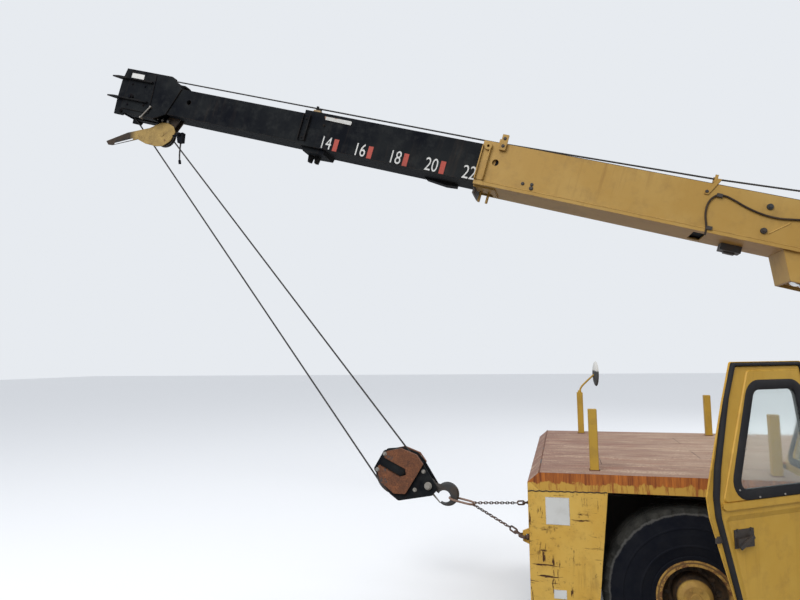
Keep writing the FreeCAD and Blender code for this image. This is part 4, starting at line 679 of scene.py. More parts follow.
def tyres():
    for name, x, side in (("front_left", WHEEL_FRONT, 1), ("front_right", WHEEL_FRONT, -1),
                          ("rear_left", WHEEL_REAR, 1), ("rear_right", WHEEL_REAR, -1)):
        place = Matrix.Translation((x, side * TRACK_HALF, TYRE_RADIUS))
        tyre = add_piece(f"tread_{name}", lambda w: lathe(w, tyre_profile, LUGS * STEPS_PER_LUG, place),
                         f"wheel_{name}", "tyre")
        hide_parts(f"tyre_{name}")

        def nuts(work):
            for across, up in circle(0.128, 10):
                bolt(work, (x + across, side * (TRACK_HALF + 0.018), TYRE_RADIUS + up), (0, side, 0), 0.012)
            hub = Vector((x, side * (TRACK_HALF + TYRE_HALF - 0.010), TYRE_RADIUS))
            cylinder(work, hub - Vector((0, side * 0.004, 0)), hub + Vector((0, side * 0.006, 0)), 0.030, 24, 0.026)
            for across, up in circle(0.048, 6):
                bolt(work, hub + Vector((across, 0, up)), (0, side, 0), 0.006)
        add_piece(f"wheel_nuts_{name}", nuts, f"wheel_{name}", "rim")


# Door and cab

HINGE = Vector((1.352, 1.002, 0.0))
DOOR_PLACE = Matrix.Translation(HINGE) @ Matrix.Rotation(math.radians(35.0), 4, "Z")
DOOR_OUT = DOOR_PLACE.to_3x3() @ Vector((0, 1, 0))
DOOR_RIM = [  # the door's outline: distance from the hinge, height
    (0.018, 0.480), (0.608, 0.480), (0.772, 0.985), (0.784, 1.078), (0.758, 1.166), (0.660, 1.494), (0.597, 1.680),
    (0.132, 1.680), (0.018, 1.086)]
STRIP_OUTER = [  # the weatherstrip's outer and inner lines, corner by corner
    (0.026, 0.490), (0.609, 0.490), (0.739, 0.985), (0.746, 1.078), (0.731, 1.198), (0.651, 1.515), (0.594, 1.675),
    (0.139, 1.675), (0.026, 1.084)]
STRIP_INNER = [
    (0.048, 0.512), (0.594, 0.512), (0.714, 0.985), (0.719, 1.060), (0.700, 1.198), (0.630, 1.515), (0.579, 1.658),
    (0.158, 1.658), (0.048, 1.086)]
DOOR_FRAME = [(0.062, 1.046), (0.702, 1.046), (0.507, 1.640), (0.168, 1.640)]
DOOR_WINDOW = [(0.095, 1.071), (0.636, 1.071), (0.493, 1.571), (0.178, 1.571)]
DOOR_PANEL = [(0.060, 0.522), (0.586, 0.522), (0.696, 0.986), (0.060, 0.986)]
DOOR_BELT = [(0.050, 1.016), (0.690, 1.016), (0.706, 1.028), (0.704, 1.044), (0.050, 1.044)]
RIM_ROUND, FRAME_ROUND, WINDOW_ROUND, PANEL_ROUND = 0.014, 0.020, 0.067, 0.030
FLANGE, PAN, FRAME_FACE, PANEL_FACE, SKIN = -0.013, -0.002, 0.004, -0.009, -0.019
DOOR_HINGES = (0.600, 0.960)
HINGE_BARREL, HINGE_RADIUS = 0.070, 0.011
PANE_BACK, PANE_FRONT, PANE_GAP = -0.010, -0.005, -0.004

CAB_FRONT, CAB_BACK, CAB_INNER, CAB_OUTER, CAB_SILL = 1.350, 0.520, 0.380, 0.990, 1.086
CAB_LEAN = math.radians(17.0)
CAB_WALL, SCREEN_WALL = 0.040, 0.0385
WINDOW_LOW, WINDOW_HIGH = 1.106, 1.610
RUBBER_ACROSS = [(-0.012, 0.0), (-0.010, 0.011), (0.004, 0.015), (0.020, 0.013), (0.028, 0.006), (0.028, 0.0)]


def door_loft(work, radius, *stages):
    """Skin between outlines with the same corners; stages are (corners, grow, height in Y)."""
    bridge(work, [outline_ring(work, corners, radius, grow, up, DOOR_PLACE) for corners, grow, up in stages])


def door_sheet(work, up, *loops):
    """A flat face between an outer loop and the holes in it; loops are (corners, radius, grow)."""
    edges = []
    for corners, radius, grow in loops:
        ring = outline_ring(work, corners, radius, grow, up, DOOR_PLACE)
        edges += [work.edges.new((a, b)) for a, b in zip(ring, ring[1:] + ring[:1])]
    bmesh.ops.triangle_fill(work, edges=edges, use_beauty=True, use_dissolve=False)


def close_up(work):
    """Join the seams between sheets and turn every face outwards."""
    bmesh.ops.remove_doubles(work, verts=work.verts, dist=2e-5)
    bmesh.ops.recalc_face_normals(work, faces=work.faces)


def door():
    """A pressed door: outer skin, hemmed flange, pan with its raised window frame and sunk lower panel."""
    def pressed(work):
        door_loft(work, RIM_ROUND, (DOOR_RIM, -0.003, SKIN), (DOOR_RIM, 0.0, SKIN + 0.002),
                  (DOOR_RIM, 0.0, FLANGE + 0.003), (DOOR_RIM, -0.002, FLANGE + 0.005),
                  (DOOR_RIM, -0.005, FLANGE + 0.003), (DOOR_RIM, -0.005, FLANGE))
        door_sheet(work, FLANGE, (DOOR_RIM, RIM_ROUND, -0.005), (STRIP_INNER, RIM_ROUND, 0.002))
        door_loft(work, RIM_ROUND, (STRIP_INNER, 0.002, FLANGE), (STRIP_INNER, -0.003, PAN))
        door_sheet(work, PAN, (STRIP_INNER, RIM_ROUND, -0.003), (DOOR_FRAME, FRAME_ROUND, 0.0),
                   (DOOR_PANEL, PANEL_ROUND, 0.0))
        door_loft(work, FRAME_ROUND, (DOOR_FRAME, 0.0, PAN), (DOOR_FRAME, -0.005, FRAME_FACE))
        door_sheet(work, FRAME_FACE, (DOOR_FRAME, FRAME_ROUND, -0.005), (DOOR_WINDOW, WINDOW_ROUND, 0.0))
        door_loft(work, WINDOW_ROUND, (DOOR_WINDOW, 0.0, FRAME_FACE), (DOOR_WINDOW, 0.0, SKIN))
        door_loft(work, PANEL_ROUND, (DOOR_PANEL, 0.0, PAN), (DOOR_PANEL, -0.024, PANEL_FACE))
        door_sheet(work, PANEL_FACE, (DOOR_PANEL, PANEL_ROUND, -0.024))
        door_sheet(work, SKIN, (DOOR_RIM, RIM_ROUND, -0.003), (DOOR_WINDOW, WINDOW_ROUND, 0.0))
        close_up(work)
    leaf = add_piece("door_pressing", pressed, "door", "cab")
    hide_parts("cab_door")

    def fittings(work):
        prism(work, DOOR_BELT, PAN - 0.001, PAN + 0.009, DOOR_PLACE)
        for z in DOOR_HINGES:
            block(work, (0.0, -0.012, z), (0.044, -0.003, z + HINGE_BARREL), DOOR_PLACE)
        bevel_edges(work, 0.003)
        for z in DOOR_HINGES:
            cylinder(work, DOOR_PLACE @ Vector((0, 0, z)), DOOR_PLACE @ Vector((0, 0, z + HINGE_BARREL)), HINGE_RADIUS)
    fitted = add_piece("door_fittings", fittings, "door", "cab")
    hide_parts("cab_door")

    def pane(work):
        door_loft(work, WINDOW_ROUND, *((DOOR_WINDOW, PANE_GAP, up) for up in (PANE_BACK, PANE_FRONT)))
        for up in (PANE_BACK, PANE_FRONT):
            door_sheet(work, up, (DOOR_WINDOW, WINDOW_ROUND, PANE_GAP))
        close_up(work)
    glass = add_piece("door_pane", pane, "door", "glass")
    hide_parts("door_glass")

    def rubbers(work):
        inside = [(-0.024, -0.005), (-0.024, 0.004), (-0.020, 0.010), (-0.006, 0.0145), (0.008, 0.0135),
                  (0.019, 0.010)]
        outside = [(grow, -0.010 if up < 0 else SKIN - up * 0.7) for grow, up in inside]
        band(work, DOOR_WINDOW, WINDOW_ROUND, inside + [(0.023, FRAME_FACE)], DOOR_PLACE)
        band(work, DOOR_WINDOW, WINDOW_ROUND, outside + [(0.023, SKIN)], DOOR_PLACE)
        crown = [((a + c) / 2, (b + d) / 2) for (a, b), (c, d) in zip(STRIP_OUTER, STRIP_INNER)]
        door_loft(work, RIM_ROUND, (STRIP_OUTER, 0.0, FLANGE), (STRIP_OUTER, -0.002, -0.002), (crown, 0.004, 0.007),
                  (crown, -0.006, 0.007), (STRIP_INNER, 0.003, -0.003), (STRIP_INNER, 0.002, FLANGE))
    add_piece("door_rubber", rubbers, "door", "rubber", smooth=True)

    def latch(work):
        block(work, (0.522, PANEL_FACE, 0.840), (0.640, PANEL_FACE + 0.006, 0.922), DOOR_PLACE)
        block(work, (0.545, PANEL_FACE + 0.006, 0.846), (0.632, PANEL_FACE + 0.020, 0.886), DOOR_PLACE)
        slant = DOOR_PLACE @ Matrix.Translation((0.585, 0, 0.868)) @ Matrix.Rotation(math.radians(28.0), 4, "Y")
        block(work, (-0.048, PANEL_FACE + 0.018, -0.009), (0.048, PANEL_FACE + 0.027, 0.009), slant)
        block(work, (0.700, -0.018, 0.872), (0.743, -0.008, 0.902), DOOR_PLACE)
        bevel_edges(work, 0.002)
        for x in (0.540, 0.622):
            bolt(work, DOOR_PLACE @ Vector((x, PANEL_FACE + 0.005, 0.918)), DOOR_OUT, 0.006)
        handle = DOOR_PLACE @ Vector((0.60, SKIN, 0.92))
        cylinder(work, handle, handle - DOOR_OUT * 0.03, 0.012)
        block(work, (0.590, SKIN - 0.034, 0.905), (0.700, SKIN - 0.022, 0.930), DOOR_PLACE)
    add_piece("door_latch", latch, "door", "iron")

    def screws(work):
        for x, z, low, high, radius in ((0.330, 1.060, 0.012, 0.016, 0.0045), (0.490, 1.060, 0.012, 0.016, 0.0045),
                                        (0.612, 1.100, 0.013, 0.0165, 0.004), (0.560, 1.280, 0.013, 0.0165, 0.004)):
            cylinder(work, DOOR_PLACE @ Vector((x, low, z)), DOOR_PLACE @ Vector((x, high, z)), radius, 12)
    add_piece("door_screws", screws, "door", "galvanised")


def cab_trim():
    """Rubbers on both faces of the cab's windscreen, side window and rear window."""
    slope = Matrix.Translation((CAB_FRONT, 0, CAB_SILL)) @ Matrix.Rotation(-CAB_LEAN, 4, "Y")
    foot, rise = ((height - CAB_SILL) / math.cos(CAB_LEAN) for height in (WINDOW_LOW, WINDOW_HIGH))
    turned = Matrix(((0, 1, 0, 0), (1, 0, 0, 0), (0, 0, 1, 0), (0, 0, 0, 1)))
    windows = [  # across, heights, corner radius, faces and the way each looks, place
        ((CAB_INNER + 0.060, CAB_OUTER - 0.060), (foot, rise), 0.045, ((0.0, 1), (-SCREEN_WALL, -1)), slope @ turned),
        ((0.920, 1.112), (WINDOW_LOW, WINDOW_HIGH), 0.045, ((CAB_INNER, -1), (CAB_INNER + CAB_WALL, 1)),
         Matrix.Identity(4)),
        ((0.840, 0.930), (WINDOW_LOW, WINDOW_HIGH), 0.022, ((CAB_BACK, -1), (CAB_BACK + CAB_WALL, 1)), turned),
    ]

    def rubbers(work):
        for (near, far), (low, high), radius, faces, place in windows:
            corners = [(near, low), (far, low), (far, high), (near, high)]
            for face, out in faces:
                band(work, corners, radius, [(grow, face + out * up) for grow, up in RUBBER_ACROSS], place)
    add_piece("cab_rubbers", rubbers, "carrier", "rubber", smooth=True)


CROWN, GROOVE_DEPTH, GROOVE_REACH = 0.006, 0.006, 0.006
SEAM_DEPTH, SEAM_AT, SEAM_REACH, DRAWN_IN = 0.003, 0.25, 0.10, 0.035


def cushion(work, size, place, channels):
    """A crowned pad of the size given about its middle, its sides drawn in, with sewn channels across it."""
    made = bmesh.ops.create_cube(work, size=2.0)["verts"]
    edges = list({edge for vert in made for edge in vert.link_edges})
    bmesh.ops.subdivide_edges(work, edges=edges, cuts=23, use_grid_fill=True)
    half = Vector(size) / 2
    soft = min(half) * 0.85
    for vert in work.verts:
        x, y, z = vert.co
        point = Vector((x * half.x, y * half.y, z * half.z))
        core = Vector([max(-h + soft, min(h - soft, c)) for c, h in zip(point, half)])
        rest = point - core
        if rest.length > 1e-9:
            rest = rest.normalized() * min(rest.length, soft)
        point = core + rest
        pull = 1.0 - DRAWN_IN * (1.0 - z * z)
        swell = CROWN * (1.0 - x * x) * (1.0 - y * y)
        groove = sum(GROOVE_DEPTH * math.exp(-((x * half.x - at) / GROOVE_REACH) ** 2) for at in channels)
        seam = SEAM_DEPTH * math.exp(-((z - SEAM_AT) / SEAM_REACH) ** 2)
        point.x *= pull * (1.0 - seam / half.x)
        point.y *= pull * (1.0 - seam / half.y)
        point.z += math.copysign(max(0.0, swell - groove), z) if z > 0 else 0.0
        vert.co = place @ point


def seat():
    """The operator's cushion and back, each sewn in channels, on a pressed pedestal."""
    places = [  # name, middle, lean in degrees, size, channels
        ("seat_cushion", (0.8875, 0.7675, 0.8585), 0.0, (0.278, 0.316, 0.070), (-0.075, 0.0, 0.075)),
        ("seat_back", (0.7580, 0.7825, 1.1425), 85.8, (0.462, 0.248, 0.050), (-0.150, -0.05, 0.05, 0.150)),
    ]
    for name, middle, lean, size, channels in places:
        place = Matrix.Translation(middle) @ Matrix.Rotation(math.radians(lean), 4, "Y")
        piece = add_piece(name, lambda w: cushion(w, size, place, channels), "carrier", "vinyl",
                          smooth=True)
        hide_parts("operator_seat")

    def pedestal(work):
        block(work, (0.770, 0.610, 0.520), (0.980, 0.900, 0.812))
        block(work, (0.752, 0.612, 0.812), (1.022, 0.923, 0.822))
        bevel_edges(work, 0.008, 3)
        for z in (0.600, 0.660, 0.720):
            block(work, (0.978, 0.660, z), (0.984, 0.850, z + 0.018))
    base = add_piece("seat_pedestal", pedestal, "carrier", "black")
    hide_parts("operator_seat")


DECK_TOP = 1.079
STAKE_HALF = 0.024
STAKES = [  # X, Y and height of each post on the deck
    (2.450, 0.855, 0.338), (1.540, 0.850, 0.317), (2.470, -0.850, 0.337), (1.500, -0.850, 0.317),
]
MIRROR_AT = Vector((2.337, -0.850, 1.570))
MIRROR_SHELL = (  # share of the oval's size, depth
    (0.25, 0.016), (0.55, 0.014), (0.82, 0.009), (0.97, 0.002), (1.0, -0.004), (0.96, -0.008))


def stakes():
    """Four posts with softened edges, and the oval mirror on the front right one."""
    def posts(work):
        for x, y, high in STAKES:
            block(work, (x - STAKE_HALF, y - STAKE_HALF, DECK_TOP), (x + STAKE_HALF, y + STAKE_HALF, DECK_TOP + high))
        bevel_edges(work, 0.006, 3)
    made = add_piece("deck_posts", posts, "carrier", "stake")
    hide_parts("deck_stakes")

    x, y, high = STAKES[2]
    foot = Vector((x, y, DECK_TOP + high))

    def bracket(work):
        sweep(work, spline_points([foot - Vector((0, 0, 0.02)), foot + Vector((0, 0, 0.025)),
                                   foot + Vector((-0.040, 0, 0.075)), MIRROR_AT + Vector((0.004, 0, 0.0))]),
              circle(0.0075))
        cylinder(work, foot - Vector((0, 0, 0.002)), foot + Vector((0, 0, 0.016)), 0.014)
    arm = add_piece("mirror_arm", bracket, "carrier", "stake", smooth=True)
    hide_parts("deck_mirror")
    turn = Matrix.Translation(MIRROR_AT) @ Matrix.Rotation(math.radians(-62.0), 4, "Z")

    def oval(work, half_width, half_height, depth):
        return ring_of(work, [turn @ Vector((half_width * a, depth, half_height * b)) for a, b in circle(1.0, 36)])

    def shell(work):
        rings = [oval(work, 0.041 * share, 0.104 * share, depth) for share, depth in MIRROR_SHELL]
        bridge(work, rings)
        work.faces.new(list(reversed(rings[0])))
    back = add_piece("mirror_shell", shell, "carrier", "mirror_back", smooth=True)
    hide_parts("deck_mirror")
    glass = add_piece("mirror_lens", lambda w: w.faces.new(oval(w, 0.040, 0.102, -0.0055)), "carrier", "mirror")
    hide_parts("deck_mirror")


# The boom's fittings, in metres along the boom, across and above it

def boom_bolts(name, body, look, rows, sides=(1, -1)):
    """Bolts on the boom's sides; rows hold distance along, height, distance across, and the bolt's size."""
    def build(work):
        for side in sides:
            for along, up, face, size in rows:
                bolt(work, on_boom(along, side * face, up), SIDE * side, size)
    add_piece(name, build, body, look)


def boom_block(work, corner_low, corner_high):
    block(work, corner_low, corner_high, BOOM_PLACE)


HOSE_ROUTE = [  # along, up
    (1.836, -0.185), (1.836, -0.150), (1.846, -0.110), (1.868, -0.050), (1.872, 0.030), (1.840, 0.088),
    (1.790, 0.100), (1.735, 0.086), (1.636, 0.047), (1.531, 0.022), (1.433, 0.018), (1.340, 0.034),
    (1.180, 0.058), (0.960, 0.052), (0.700, 0.030), (0.420, 0.012), (0.240, 0.0), (0.130, -0.004),
]
HOSE_CLIPS = ((1.812, 0.092), (1.822, -0.134), (0.960, 0.052), (0.420, 0.012))
PIVOT_BOSSES = (0.085, -0.077)
WORN_PLATE = [(4.748, 0.117), (4.735, 0.090), (4.512, 0.086), (4.508, 0.111), (4.521, 0.117)]


def base_fittings():
    route = spline_points([on_boom(s, BASE_HALF_WIDTH + 0.009, u) for s, u in HOSE_ROUTE])
    add_piece("boom_hose", lambda w: sweep(w, route, circle(0.0065)), "base_section", "hose",
              smooth=True)
    boom_bolts("base_bolts", "base_section", "iron", [
        (1.505, 0.085, 0.172, 0.011), (1.503, -0.077, 0.172, 0.011), (3.085, -0.094, 0.1605, 0.009),
        (3.020, -0.088, 0.1605, 0.009), (3.018, -0.116, 0.1605, 0.011), (3.292, 0.196, 0.1845, 0.009),
        (3.292, 0.140, 0.1845, 0.009), (1.893, 0.104, 0.1685, 0.008)])

    def clips(work):
        for along, up in HOSE_CLIPS:
            boom_block(work, (along - 0.018, BASE_HALF_WIDTH, up - 0.012),
                       (along + 0.018, BASE_HALF_WIDTH + 0.020, up + 0.012))
        boom_block(work, (1.560, -0.110, -0.213), (1.694, -0.020, -0.165))
        boom_block(work, (1.590, -0.090, -0.225), (1.660, -0.050, -0.213))
        boom_block(work, (3.425, -0.140, -0.222), (3.4395, 0.100, -0.166))
        bevel_edges(work, 0.002)
        for side in (1, -1):
            for up in PIVOT_BOSSES:
                cylinder(work, on_boom(1.504, side * 0.158, up), on_boom(1.504, side * 0.1725, up), 0.021, 24, 0.019)
    add_piece("base_clips", clips, "base_section", "iron")

    def welds(work):
        for side in (1, -1):
            face, lip, front = (side * (BASE_HALF_WIDTH + out) for out in (0.001, 0.008, 0.002))
            bead(work, on_boom(1.475, face, -0.090), on_boom(1.363, face, 0.009), 0.0035, 0.02)
            bead(work, on_boom(-0.10, lip, -0.1385), on_boom(3.35, lip, -0.1385), 0.0028)
            for x in (3.372, 3.430):
                bead(work, on_boom(x, front, -0.128), on_boom(x, front, 0.124), 0.004)
    add_piece("base_welds", welds, "base_section", "yellow", smooth=True)


def mid_fittings():
    add_piece("mid_worn_plate", lambda w: prism(w, WORN_PLATE, MID_HALF_WIDTH + 0.0052, MID_HALF_WIDTH + 0.0062,
                                                BOOM_PLACE), "mid_section", "worn_plate")

    def pads(work):
        boom_block(work, (4.803, 0.090, 0.1435), (4.864, 0.134, 0.158))
        boom_block(work, (4.803, -0.134, 0.1435), (4.864, -0.090, 0.158))
        bevel_edges(work, 0.003)
    add_piece("mid_pads", pads, "mid_section", "pad")
    boom_bolts("mid_bolts", "mid_section", "boom", [
        (4.735, 0.046, 0.1385, 0.008), (4.898, 0.070, 0.1445, 0.007), (4.898, -0.085, 0.1445, 0.007)])

    def pins(work):
        for x in (4.839, 4.779):
            cylinder(work, on_boom(x, -0.028, -0.226), on_boom(x, 0.028, -0.226), 0.007)
        for side in (1, -1):
            for x in (4.860, 4.926):
                bead(work, on_boom(x, side * 0.139, -0.10), on_boom(x, side * 0.139, 0.10), 0.0035)
    add_piece("mid_pins", pins, "mid_section", "boom")


# The rope's way: sheave centres along and above the boom, and in the model's frame for the hook block
ROPE_RADIUS, LAY_LENGTH = 0.007, 0.09
NOSE, DEAD_END = (6.618, -0.040), (6.178, -0.310)
NOSE_RADIUS, BLOCK_RADIUS, GROOVE = 0.130, 0.167, 0.010
REACH = ROPE_RADIUS + 0.0003 - GROOVE
HUB = Vector((3.825, 0.0, 0.869))
ROPE_HIGH, ROPE_REAR, ROLLER_AT = 0.213, 0.249, 1.838
WINCH_UP, DRUM_RADIUS = 0.275, 0.062
WRAPS, WRAP_PITCH, WRAP_STEPS = 12, 0.0155, 28
ROPE_STEP = 0.015


def rope(name, route, body, radius=ROPE_RADIUS):
    """A six-strand rope along a route."""
    strands = []
    for i in range(24):
        angle = 2 * math.pi * i / 24
        reach = radius * (0.80 + 0.20 * abs(math.cos(3 * angle)))
        strands.append((reach * math.cos(angle), reach * math.sin(angle)))
    return add_piece(name, lambda w: sweep(w, route, strands, 2 * math.pi / LAY_LENGTH), body, "rope",
                     smooth=True)


def head_fittings():
    boom_bolts("guard_bolts", "fly_section", "galvanised", [
        (6.248, -0.166, 0.049, 0.009), (6.308, -0.162, 0.049, 0.009), (6.364, -0.166, 0.049, 0.009)], (1,))
    boom_bolts("head_bolts", "fly_section", "head", [
        (*NOSE, 0.150, 0.018), (6.690, -0.175, 0.140, 0.011), (6.505, 0.075, 0.137, 0.008),
        (6.640, 0.075, 0.137, 0.008), (6.470, -0.090, 0.137, 0.008), (6.640, -0.110, 0.137, 0.008)])

    def rods(work):
        cylinder(work, on_boom(6.389, 0.142, -0.093), on_boom(6.462, 0.142, -0.204), 0.006)
        cylinder(work, on_boom(6.389, 0.112, -0.093), on_boom(6.389, 0.148, -0.093), 0.008)
        cylinder(work, on_boom(6.462, 0.112, -0.200), on_boom(6.462, 0.148, -0.200), 0.008)
    add_piece("head_rod", rods, "fly_section", "galvanised")
    add_piece("head_label", lambda w: boom_block(w, (6.543, 0.1361, 0.128), (6.675, 0.1369, 0.174)), "fly_section",
              "label")

    def wedge(work):
        place = BOOM_PLACE @ Matrix.Translation((6.076, 0.045, -0.282)) @ Matrix.Rotation(math.radians(17.0), 4, "Y")
        prism(work, [(-0.026, -0.045), (0.020, -0.045), (0.032, 0.040), (-0.034, 0.040)], -0.020, 0.020, place)
        bevel_edges(work, 0.004)
        cylinder(work, place @ Vector((0.0, -0.034, 0.026)), place @ Vector((0.0, 0.034, 0.026)), 0.009)
        bolt(work, place @ Vector((0.0, 0.032, 0.026)), (0, 1, 0), 0.011)
        block(work, (0.0, -0.008, 0.022), (0.080, 0.008, 0.034), place)
    add_piece("rope_wedge", wedge, "fly_section", "head")
    tail = ((5.745, 0.045, 3.600), (5.750, 0.045, 3.555), (5.752, 0.047, 3.510), (5.750, 0.049, 3.470),
            (5.746, 0.050, 3.432))
    rope("rope_tail", spline_points(tail), "fly_section")
    add_piece("tail_clamp", lambda w: cylinder(w, (5.748, 0.049, 3.450), (5.744, 0.050, 3.420), 0.0115, 16),
              "fly_section", "head")

    def welds(work):
        for side in (1, -1):
            face = side * 0.1285
            bead(work, on_boom(6.400, face, -0.150), on_boom(6.423, face, 0.190), 0.004, 0.03)
            for up in (0.126, -0.054):
                bead(work, on_boom(6.430, face, up), on_boom(6.765, face, up), 0.004, 0.03)
    add_piece("head_welds", welds, "fly_section", "head", smooth=True)


def around(centre, radius, start, end, steps=24):
    """Points on an arc in the boom's plane, from one direction to another, in degrees from along to above."""
    angles = (math.radians(start + (end - start) * i / steps) for i in range(steps + 1))
    return [on_boom(centre[0] + radius * math.cos(a), 0.0, centre[1] + radius * math.sin(a)) for a in angles]


def hoist_rope():
    """The rope on the drum, over the base's roller, through the guides and over the nose."""
    top = DRUM_RADIUS + ROPE_RADIUS
    rise = math.degrees(math.atan2(ROPE_REAR - WINCH_UP - top, ROLLER_AT))
    wraps = []
    for i in range(WRAPS * WRAP_STEPS + 1):
        angle = math.radians(90 + rise - 360 * i / WRAP_STEPS)
        across = 0.5 * WRAPS * WRAP_PITCH - WRAP_PITCH * i / WRAP_STEPS
        wraps.append(on_boom(top * math.cos(angle), across, WINCH_UP + top * math.sin(angle)))
    rope("drum_rope", wraps, "base_section", 0.0076)
    roller = on_boom(ROLLER_AT, 0.0, ROPE_REAR)
    upper = run(on_boom(0.0, 0.0, WINCH_UP + top), roller, ROPE_STEP)
    upper += run(roller, on_boom(3.344, 0.0, ROPE_HIGH + 0.001), ROPE_STEP)[1:]
    rope("hoist_rope_base", upper, "base_section")
    rope("hoist_rope_mid", run(on_boom(1.30, 0.0, ROPE_HIGH), on_boom(4.890, 0.0, ROPE_HIGH), ROPE_STEP),
         "mid_section", 0.0068)
    over = run(on_boom(3.60, 0.0, ROPE_HIGH), on_boom(6.358, 0.0, ROPE_HIGH), ROPE_STEP)
    over += around((NOSE[0] - 0.14, NOSE[1] + 0.05), 0.163, 92, 40)[1:]
    over += around(NOSE, NOSE_RADIUS + REACH, 62, -20)
    rope("hoist_rope_fly", over, "fly_section", 0.0066)


def falls():
    """The two falls, tangent to the sheaves, and the rope round the hook block's sheave."""
    nose, low = (on_boom(along, 0.0, up) for along, up in (NOSE, DEAD_END))
    line = nose - HUB
    tilt = (NOSE_RADIUS - BLOCK_RADIUS) / line.length
    line.normalize()
    normal = Vector((line.z, 0.0, -line.x)) * math.sqrt(1 - tilt * tilt) + line * tilt
    drop = low - HUB
    share = (BLOCK_RADIUS + REACH) / drop.length
    drop.normalize()
    behind = drop * share + Vector((-drop.z, 0.0, drop.x)) * math.sqrt(1 - share * share)
    ends = [("front", nose + normal * (NOSE_RADIUS + REACH), HUB + normal * (BLOCK_RADIUS + REACH)),
            ("rear", low, HUB + behind * (BLOCK_RADIUS + REACH))]
    for name, top, foot in ends:
        fall = rope(f"fall_{name}", run(top, foot, 0.012), "fly_section")
        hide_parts("hoist_falls")
        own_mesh(fall)
    first, last = math.atan2(normal.z, normal.x), math.atan2(behind.z, behind.x)
    if last > first:
        last -= 2 * math.pi
    bend = [HUB + Vector((math.cos(a), 0, math.sin(a))) * (BLOCK_RADIUS + REACH)
            for a in (first + (last - first) * i / 60 for i in range(61))]
    rope("block_wrap", bend, "hook_assembly")


# The hook block and its tie-down

BLOCK_BOLTS = [  # X, Z, face, size
    (3.906, 1.008, 0.074, 0.011), (3.966, 0.893, 0.074, 0.011), (3.619, 0.884, 0.048, 0.011),
    (3.687, 0.750, 0.048, 0.011), (3.583, 0.784, 0.062, 0.020), (3.660, 0.975, 0.048, 0.009),
]
LATCH_PIN, LATCH_TIP = (3.560, 0.716), (3.507, 0.656)
RING_LENGTH, RING_WIDTH, RING_STOCK = 0.200, 0.110, 0.016
LINK_PITCH, LINK_STOCK, LINK_WIDTH = 0.027, 0.0065, 0.021
HEAVY_LENGTH, HEAVY_WIDTH, HEAVY_STOCK = 0.088, 0.038, 0.012
BUMPER_FACE, LUG_OUT, LUG_Y, LUG_Z = 2.814, 0.070, 0.450, 0.585
THROAT, THROAT_RADIUS = Vector((3.472, 0.0, 0.704)), 0.047


def block_fittings():
    def bolts(work):
        for x, z, face, size in BLOCK_BOLTS:
            for side in (1, -1):
                bolt(work, (x, side * face, z), (0, side, 0), size)
    add_piece("block_bolts", bolts, "hook_assembly", "galvanised")

    def shaft_ends(work):
        for side in (1, -1):
            bolt(work, (3.770, side * 0.062, 0.880), (0, side, 0), 0.017)
            cylinder(work, (3.770, side * 0.075, 0.880), (3.770, side * 0.084, 0.880), 0.006, 12)
    add_piece("block_shaft_ends", shaft_ends, "hook_assembly", "boom")

    def latch(work):
        (x, z), (tip_x, tip_z) = LATCH_PIN, LATCH_TIP
        for y in (0.009, -0.009):
            cylinder(work, (x, y, z), (tip_x, 0.0, tip_z), 0.0045, 12)
        cylinder(work, (x, -0.024, z), (x, 0.024, z), 0.006, 12)
    add_piece("hook_latch", latch, "hook_assembly", "galvanised")


def stadium(length, width, stock, steps=8):
    """The middle line of a chain link lying along X in the XY plane."""
    radius = (width - stock) / 2
    straight = (length - stock) / 2 - radius
    points = []
    for centre, start in ((straight, -90), (-straight, 90)):
        for i in range(steps + 1):
            angle = math.radians(start + 180 * i / steps)
            points.append(Vector((centre + radius * math.cos(angle), radius * math.sin(angle), 0.0)))
    return points


def link(work, length, width, stock, at, along, turn, steps=8):
    """A link of round stock about its middle, laid along a line and turned about it by degrees."""
    place = (Matrix.Translation(at) @ Vector(along).to_track_quat("X", "Z").to_matrix().to_4x4()
             @ Matrix.Rotation(math.radians(turn), 4, "X"))
    sweep(work, [place @ point for point in stadium(length, width, stock, steps)], circle(stock / 2, 10), closed=True)


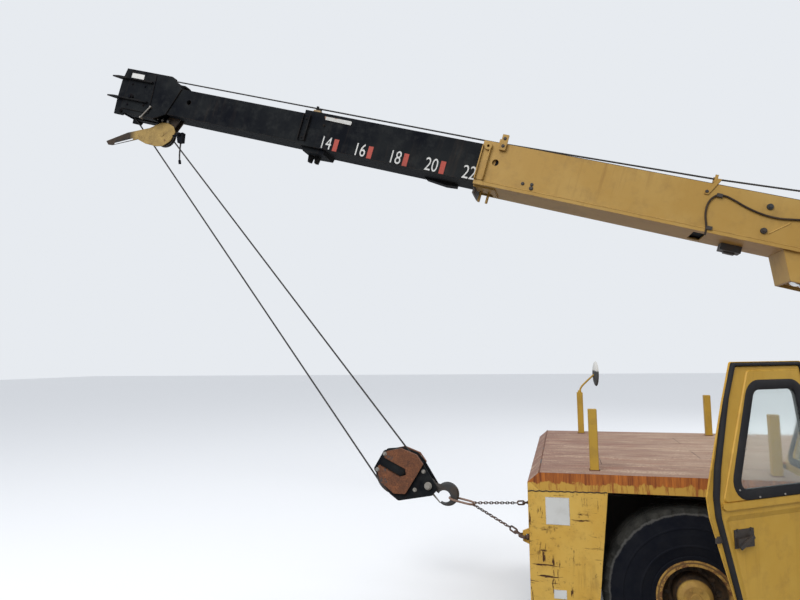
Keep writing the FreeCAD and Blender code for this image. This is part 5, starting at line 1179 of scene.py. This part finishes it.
def tie_down():
    """The ring in the hook's throat, and a chain from it to each of the bumper's lugs."""
    pull = (Vector((BUMPER_FACE + LUG_OUT, 0, LUG_Z)) - THROAT).normalized()
    near = THROAT + pull * (THROAT_RADIUS - RING_STOCK - 0.0015)
    far = near + pull * RING_LENGTH

    def chains(work):
        for side in (1, -1):
            lug = Vector((BUMPER_FACE + LUG_OUT + 0.005, side * LUG_Y, LUG_Z))
            out = (far - lug).normalized()
            end = lug + out * (2 * HEAVY_LENGTH - HEAVY_STOCK * 3)
            for i in range(2):
                heavy = lug + out * (HEAVY_LENGTH * (0.5 + i) - HEAVY_STOCK * (1 + 2 * i))
                link(work, HEAVY_LENGTH, HEAVY_WIDTH, HEAVY_STOCK, heavy, out, 90 * i + 20)
            start = far - pull * (RING_STOCK + LINK_STOCK + 0.001) + Vector((0, side * 0.014, 0))
            line = end - start
            count = round((line.length - 2 * LINK_STOCK) / LINK_PITCH)
            pitch = (line.length - 2 * LINK_STOCK) / count
            for i in range(count):
                at = start + line.normalized() * (LINK_STOCK + pitch * (i + 0.5))
                link(work, pitch + 2 * LINK_STOCK - 0.0006, LINK_WIDTH, LINK_STOCK, at, line, 90 * ((i + 1) % 2))
    chain = add_piece("tie_down_links", chains, "carrier", "chain", smooth=True)
    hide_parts("tie_down_chain")
    ring = add_piece("tie_down_ring", lambda w: link(w, RING_LENGTH, RING_WIDTH, RING_STOCK, (near + far) / 2, pull,
                                                     0, 14), "carrier", "ring", smooth=True)
    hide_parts("tie_down_chain")

    def shackles(work):
        for side in (1, -1):
            lug = Vector((BUMPER_FACE + LUG_OUT - 0.032, side * LUG_Y, LUG_Z))
            angles = (math.radians(-100 + 200 * i / 16) for i in range(17))
            bow = [lug + Vector((0.018 + 0.034 * math.cos(a), 0.034 * math.sin(a), 0.0)) for a in angles]
            sweep(work, bow, circle(0.010, 10))
            cylinder(work, lug + Vector((0, -0.038, 0)), lug + Vector((0, 0.038, 0)), 0.009)
            bolt(work, lug + Vector((0, 0.036, 0)), (0, 1, 0), 0.011)
    add_piece("bumper_shackles", shackles, "carrier", "chain", smooth=True)


# Deck and bumper

WELD_TOP = DECK_TOP + 0.0005
GUSSET = [(2.746, 0.988), (2.8125, 0.988), (2.8125, 1.022), (2.746, 1.0755)]


def deck_trim():
    def labels(work):
        block(work, (2.594, 0.9902, 0.804), (2.720, 0.9910, 0.949))
        block(work, (2.624, 0.9902, 0.418), (2.691, 0.9910, 0.464))
    add_piece("bumper_labels", labels, "carrier", "label")

    def gussets(work):
        for y0, y1 in ((0.970, 0.9895), (-0.9895, -0.970)):
            prism(work, GUSSET, y0, y1)
    add_piece("deck_gussets", gussets, "carrier", "deck")

    def joints(work):
        for side in (1, -1):
            line = [Vector((2.396 + 0.0104 * i, side * 0.9895, 0.984 - 0.00015 * i + 0.0018 * math.sin(1.7 * i)))
                    for i in range(41)]
            sweep(work, line, circle(0.0034, 6))
    add_piece("bumper_joint", joints, "carrier", "black", smooth=True)

    def welds(work):
        for x, y, _ in STAKES:
            loop = [Vector((x + a * 0.026, y + b * 0.026, WELD_TOP)) for a, b in ((-1, -1), (1, -1), (1, 1), (-1, 1))]
            sweep(work, loop, circle(0.004, 6), closed=True)
        bead(work, (2.750, -0.985, WELD_TOP), (2.750, 0.985, WELD_TOP), 0.004, sides=6)
        for side in (1, -1):
            for face in (side * (LUG_Y + 0.012), side * (LUG_Y - 0.012)):
                bead(work, (2.815, face, 0.525), (2.815, face, 0.645), 0.005, 0.02, 6)
    add_piece("deck_welds", welds, "carrier", "rust", smooth=True)


floor_and_light()
camera()
dress_nodes()
boom_marks()
tyres()
door()
cab_trim()
seat()
stakes()
base_fittings()
mid_fittings()
head_fittings()
hoist_rope()
falls()
block_fittings()
tie_down()
deck_trim()
